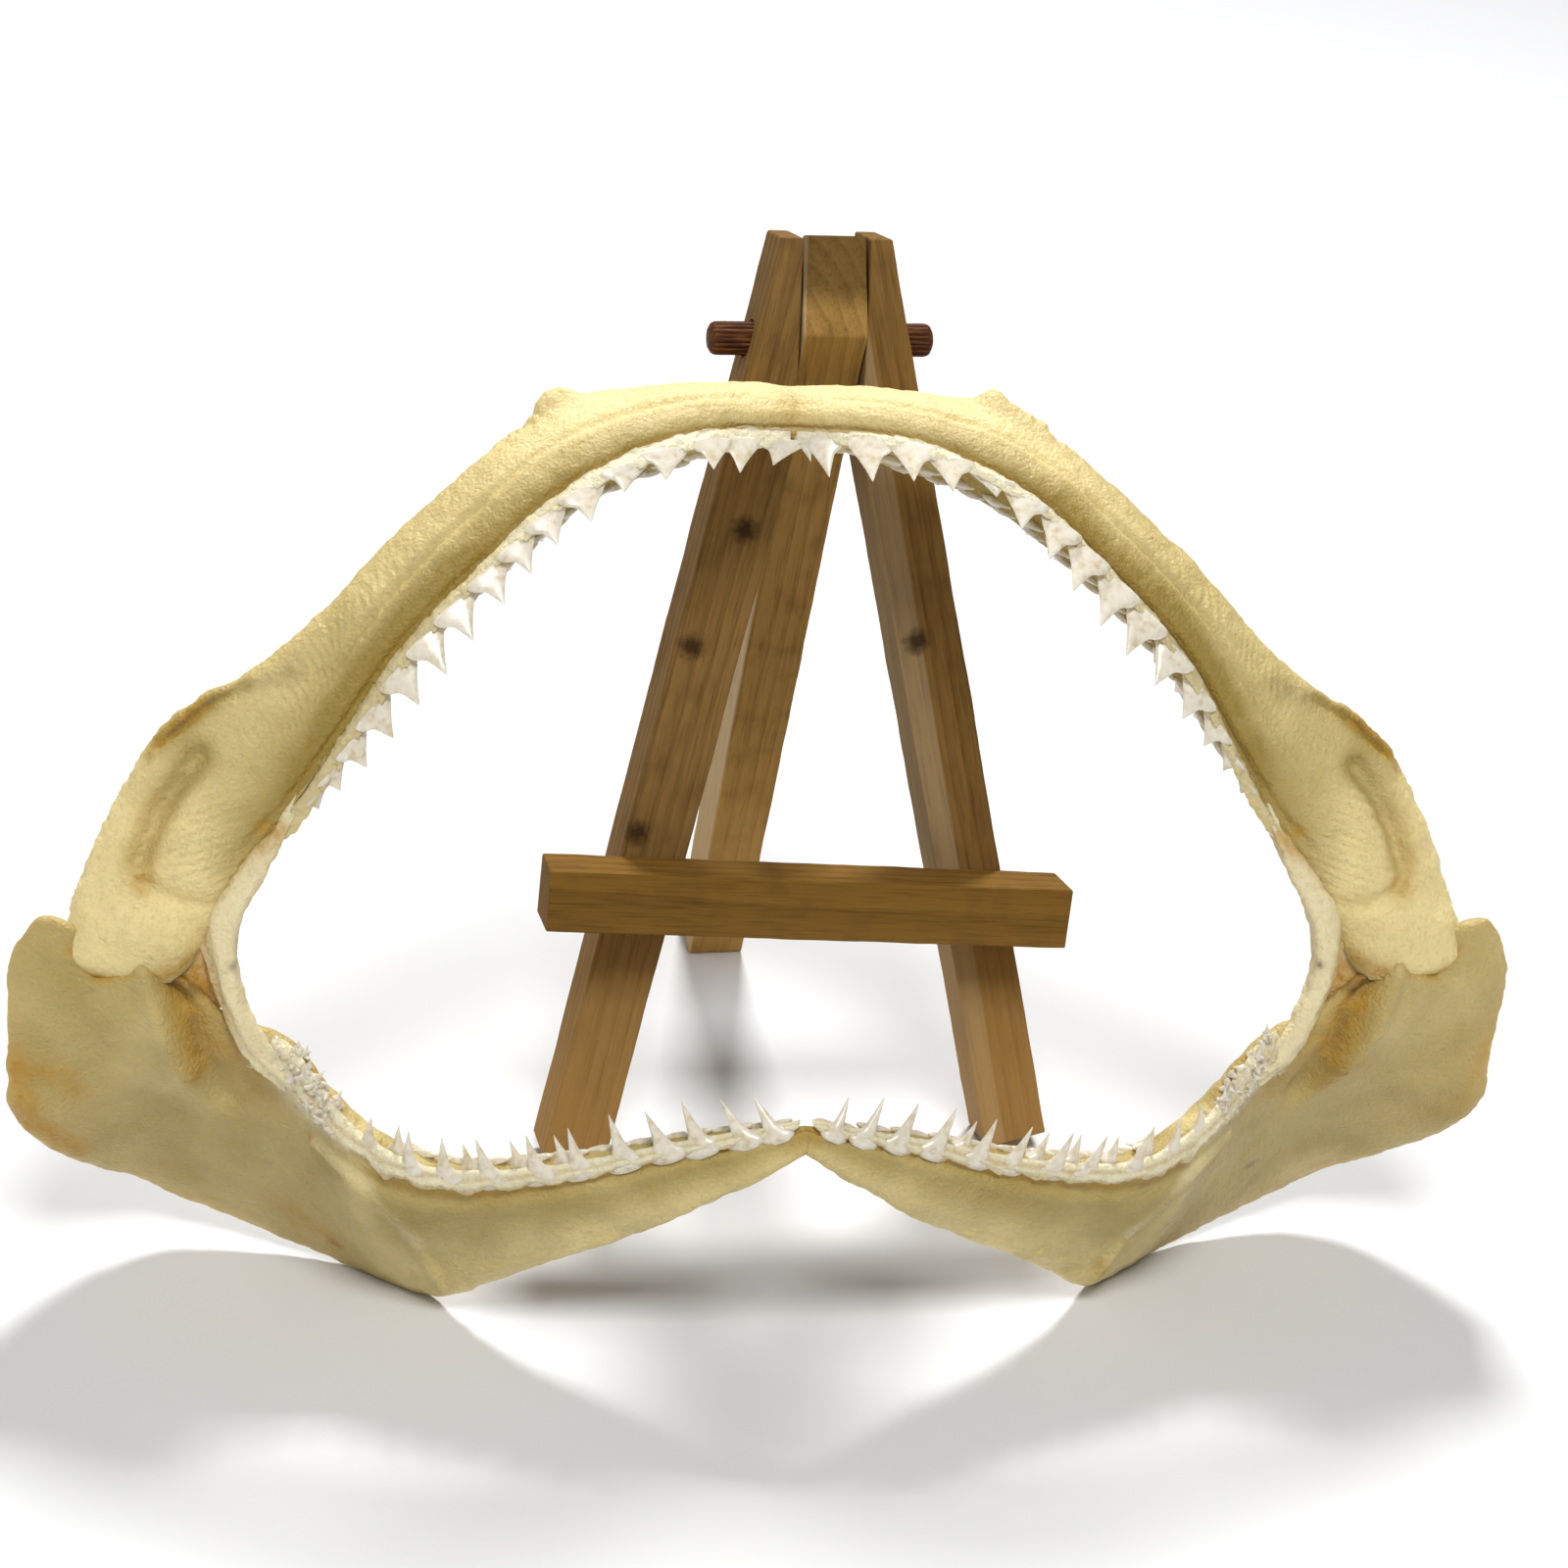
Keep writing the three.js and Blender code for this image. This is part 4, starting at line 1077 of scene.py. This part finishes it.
def softwood(node, light, dark, heart, knots=(), side_light=0.0, end=0.0):
    """light and dark are its early and late wood. heart is the middle of the rings beside the stick, in mm.
    sap is how much painted light makes its left side paler, and end how dark its sawn top is."""
    material, tree, shader, place = new_material(f"softwood_{node}")
    middle, run = long_axis(node)
    upright = run.rotation_difference(Vector((0, 0, 1)))
    shift = upright @ (middle / MM)
    moved = (heart[0] - shift.x, heart[1] - shift.y, -shift.z)
    local = add(tree, "Mapping", {"Vector": place, "Rotation": upright.to_euler(), "Location": moved})
    slow = add(tree, "Mapping", {"Vector": local, "Scale": (1, 1, 0.05)})  # stretched along the stick
    wobble = add(tree, "TexNoise", {"Vector": slow, "Scale": 0.12, "Detail": 2.0}, out="Color")
    bent = add(tree, "VectorMath", [wobble, (3.0, 3.0, 0.0), slow], operation="MULTIPLY_ADD")
    rings = add(
        tree,
        "TexWave",
        {"Vector": bent, "Scale": 2 * math.pi / (WAVE_TURN * RING_SPACING), "Distortion": 0.6},
        wave_type="RINGS",
        rings_direction="Z",
        wave_profile="SAW",
        out="Fac",
    )
    streaks = add(tree, "TexNoise", {"Vector": slow, "Scale": 2.2, "Detail": 6.0})
    grime = add(tree, "TexNoise", {"Vector": place, "Scale": 0.16, "Detail": 5.0})
    late = add(tree, "ValToRGB", [rings], [(0.0, 0.0), (0.55, 0.25), (0.9, 0.6), (1.0, 0.25)])
    broken = add(tree, "MapRange", [streaks, 0.3, 0.7, 0.35, 1.0])
    left = upright @ Vector((-1, 0, 0))
    left = Vector((left.x, left.y, 0)).normalized()
    depth = add(tree, "VectorMath", [local, left], operation="DOT_PRODUCT", out="Value")
    outer = left.x * heart[0] + left.y * heart[1] + SIDE_LIGHT_DEPTH
    level = add(tree, "SeparateXYZ", [place], out="Z")
    colour = light
    for share, tint in (
        (add(tree, "Math", [late, broken], operation="MULTIPLY"), dark),  # late wood, in broken lines
        (add(tree, "MapRange", [streaks, 0.52, 0.75, 0.0, 0.5]), dark),
        (add(tree, "MapRange", [grime, 0.5, 0.8, 0.0, 0.5]), "#5c4326"),  # grime
        (add(tree, "MapRange", [depth, outer, outer + 0.5, 0.0, 0.8 * side_light]), "#e0cda8"),  # painted light: paler on the stick's left side, which faces the light
        (add(tree, "MapRange", [level, 15.0, 60.0, 0.42, 0.0]), "#b98f55"),  # painted light: paler near the table, as the jaws shade the sticks higher up
        (add(tree, "MapRange", [level, SAWN_TOP, SAWN_TOP + 4, 0.0, end]), "#3f2c15"),  # sawn across
    ):
        colour = add(tree, "Mix", {0: share, 6: colour, 7: tint}, **COLOUR_MIX)
    for spot in knots:
        ragged = add(tree, "TexNoise", {"Vector": place, "Scale": 0.8, "Detail": 4.0}, out="Color")
        pushed = add(tree, "VectorMath", [ragged, (2.6,) * 3, place], operation="MULTIPLY_ADD")
        aim = tuple(c / MM + 1.3 for c in metres(spot))
        away = add(tree, "VectorMath", [pushed, aim], operation="DISTANCE", out="Value")
        knot = add(tree, "MapRange", [away, 1.0, 3.0, 0.85, 0.0])
        colour = add(tree, "Mix", {0: knot, 6: colour, 7: "#2c1b10"}, **COLOUR_MIX)
    relief = add(tree, "Mix", {0: 0.3, 2: streaks, 3: rings})
    looks = {
        "Base Color": colour,
        "Normal": add(tree, "Bump", {"Height": relief, "Strength": 0.5, "Distance": 0.3 * MM}),
        "Roughness": add(tree, "MapRange", [streaks, 0.3, 0.7, 0.65, 0.85]),
        "IOR": 1.5,
        "Specular IOR Level": 0.06,
    }
    feed(tree, shader, looks)
    return material


STICKS = {
    "easel_leg_left": dict(
        light="#8a6a3c",
        dark="#503818",
        side_light=0.5,
        heart=(9, 14),
        knots=[(-4.5, 19.9, 119.2), (-13.2, 15.8, 98.5), (-21.5, 9.5, 65.0)],
    ),
    "easel_leg_right": dict(
        light="#876637", dark="#4e3516", side_light=0.25, heart=(-16, 9), knots=[(27.7, 18.6, 99.0)]
    ),
    "easel_leg_rear": dict(light="#a98449", dark="#735629", side_light=0.5, end=0.6, heart=(12, 16)),
    "easel_crossbar": dict(light="#836029", dark="#4c3514", heart=(5, -12)),
}
for number, (node, looks) in enumerate(STICKS.items()):
    bm = dressed_stick(node, 31 + number)
    body = "rear_leg" if node == "easel_leg_rear" else "specimen"
    stick = finish_piece(bm, f"{node}_stick", softwood(node, **looks), body, [node])
    for polygon in stick.data.polygons:  # planed faces are flat
        polygon.use_smooth = False

# %% [markdown]
# The dowel is the fluted kind that joiners glue into furniture: pressed grooves run along it and let the
# glue out. A profile spun round would be smooth, so it is rolled from a grid like the jaws, with a
# radius that waves round its axis and a rounded nose at each end.

# %% The fluted dowel
DOWEL_BOX = [Vector(corner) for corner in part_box("easel_dowel")]
FLUTES = 20
FLUTE_DEPTH = 0.28
DOWEL_RADIUS = 3.0
DOWEL_LENGTH = 40.0
EASEL_TURN = math.radians(3.8)  # how far the easel is turned from the jaws' own frame
NOSE = 1.6  # mm over which each end is rounded


def dowel_shape(turn, way):
    half = DOWEL_LENGTH / 2
    along = (way * 2 - 1) * half
    nose = np.clip((np.abs(along) - (half - NOSE)) / NOSE, 0, 1)
    radius = (DOWEL_RADIUS - 0.05) * (0.55 + 0.45 * np.sqrt(1 - nose**2 * 0.995))
    angle = 2 * np.pi * turn
    radius = radius - FLUTE_DEPTH * (0.5 + 0.5 * np.cos(FLUTES * angle)) ** 2 * (1 - nose)
    middle = millimetres((DOWEL_BOX[0] + DOWEL_BOX[1]) / 2)
    run = np.array((math.cos(EASEL_TURN), math.sin(EASEL_TURN), 0))
    beside = np.array((-math.sin(EASEL_TURN), math.cos(EASEL_TURN), 0))
    round_it = np.cos(angle)[:, None] * beside + np.sin(angle)[:, None] * np.array((0, 0, 1))
    return middle + along[:, None] * run + radius[:, None] * round_it


def dark_dowel():
    """Beech darkened by age and handling, which gives it a dull red-brown look with fine dark streaks."""
    material, tree, shader, place = new_material("dark_beech_dowel")
    long = add(tree, "Mapping", {"Vector": place, "Scale": (0.12, 1, 1)})
    streaks = add(tree, "TexNoise", {"Vector": long, "Scale": 1.6, "Detail": 6.0})
    shades = [(0.25, "#2a150a"), (0.5, "#542e14"), (0.75, "#85522a")]
    looks = {
        "Base Color": add(tree, "ValToRGB", [streaks], shades),
        "Normal": add(tree, "Bump", {"Height": streaks, "Strength": 0.5, "Distance": 0.3 * MM}),
        "Roughness": 0.6,
        "Specular IOR Level": 0.15,
    }
    feed(tree, shader, looks)
    return material


bm = bmesh.new()
roll_up(bm, FLUTES * 8, 90, dowel_shape)
finish_piece(bm, "easel_dowel_fluted", dark_dowel(), "specimen", ["easel_dowel"])

# %% [markdown]
# ## Stage, light and camera
#
# A museum piece is shown on a plain pale ground. The floor is one wide flat sheet of matt white paper, a
# tenth of a millimetre below the feet, so that the two don't flicker through each other.

# %% Floor
FLOOR_SIZE = 8.0
bm = bmesh.new()
bmesh.ops.create_grid(bm, x_segments=1, y_segments=1, size=FLOOR_SIZE / 2)
bmesh.ops.translate(bm, vec=(0, 0, -0.1 * MM), verts=bm.verts)
floor_mesh = bpy.data.meshes.new("floor")
bm.to_mesh(floor_mesh)
bm.free()
floor = bpy.data.objects.new("floor", floor_mesh)
bpy.context.scene.collection.objects.link(floor)
paper, tree, shader, _ = new_material("white_paper")
feed(tree, shader, {"Base Color": "#e2e2e2", "Roughness": 0.6})
floor_mesh.materials.append(paper)
floor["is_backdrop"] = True

# %% [markdown]
# One lamp could light it all, but its shadows would be hard and black. So a lamp high behind throws the
# jaws' shadow forwards and makes their thin edges glow, one high in front lights the teeth and throws the
# easel's shadow back, a wide weak window on the left softens both, and a pale sky fills what is left.

# %% Light
def soft_box(name, size, power, at, aim=(0, 0, 0.07)):
    """A square lamp of a size in metres and a power in watts, turned to the jaws."""
    light = bpy.data.lights.new(name, "AREA")
    light.size, light.energy = size, power
    holder = bpy.data.objects.new(name, light)
    holder.location = at
    holder.rotation_euler = (Vector(aim) - Vector(at)).to_track_quat("-Z", "Y").to_euler()
    bpy.context.scene.collection.objects.link(holder)


soft_box("lamp_behind", 0.42, 44, (0.2, 1.25, 1.95))
soft_box("lamp_before", 0.6, 29, (0.0, -1.13, 1.89))
soft_box("window_left", 1.2, 7, (-2.2, 0.3, 1.0))
world = bpy.data.worlds.new("pale_sky")
world.use_nodes = True
world.node_tree.nodes["Background"].inputs["Color"].default_value = linear("#f6f9ff")
world.node_tree.nodes["Background"].inputs["Strength"].default_value = 0.22
bpy.context.scene.world = world
bpy.context.scene.view_settings.view_transform = "Standard"

# %% [markdown]
# The camera stands a little to the left and looks down on the jaws. Its direction is worked out from three
# angles, because a small roll is easier to name that way than in the editor's Euler angles.

# %% Camera
LENS = 70.63  # mm, on a sensor 36 mm wide
CAMERA_AT = (-81.352, -479.786, 308.161)  # mm
TURNED, TILTED, ROLLED = (math.radians(angle) for angle in (-9.93, 25.15, 4.73))
camera_data = bpy.data.cameras.new("camera")
camera_data.lens, camera_data.sensor_width = LENS, 36
camera = bpy.data.objects.new("camera", camera_data)
ahead = Vector((-math.sin(TURNED) * math.cos(TILTED), math.cos(TURNED) * math.cos(TILTED), -math.sin(TILTED)))
level = Vector((math.cos(TURNED), math.sin(TURNED), 0))
overhead = level.cross(ahead)
across = level * math.cos(ROLLED) + overhead * math.sin(ROLLED)
up = overhead * math.cos(ROLLED) - level * math.sin(ROLLED)
camera.matrix_world = Matrix((across, up, -ahead)).transposed().to_4x4()
camera.location = metres(CAMERA_AT)
bpy.context.scene.collection.objects.link(camera)
bpy.context.scene.camera = camera

# %% [markdown]
# Dressing a model must not change its size. So the box round the CAD solids and the box round what is shown
# are both kept and printed, corner by corner.

# %% Sizes, and the end
sizes = {"cad_box": [list(c) for c in cad_box], "visual_box": [list(c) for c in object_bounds()]}
for low_or_high in zip(*sizes.values()):
    print("box corner, CAD and visual:", [[round(v, 4) for v in corner] for corner in low_or_high])
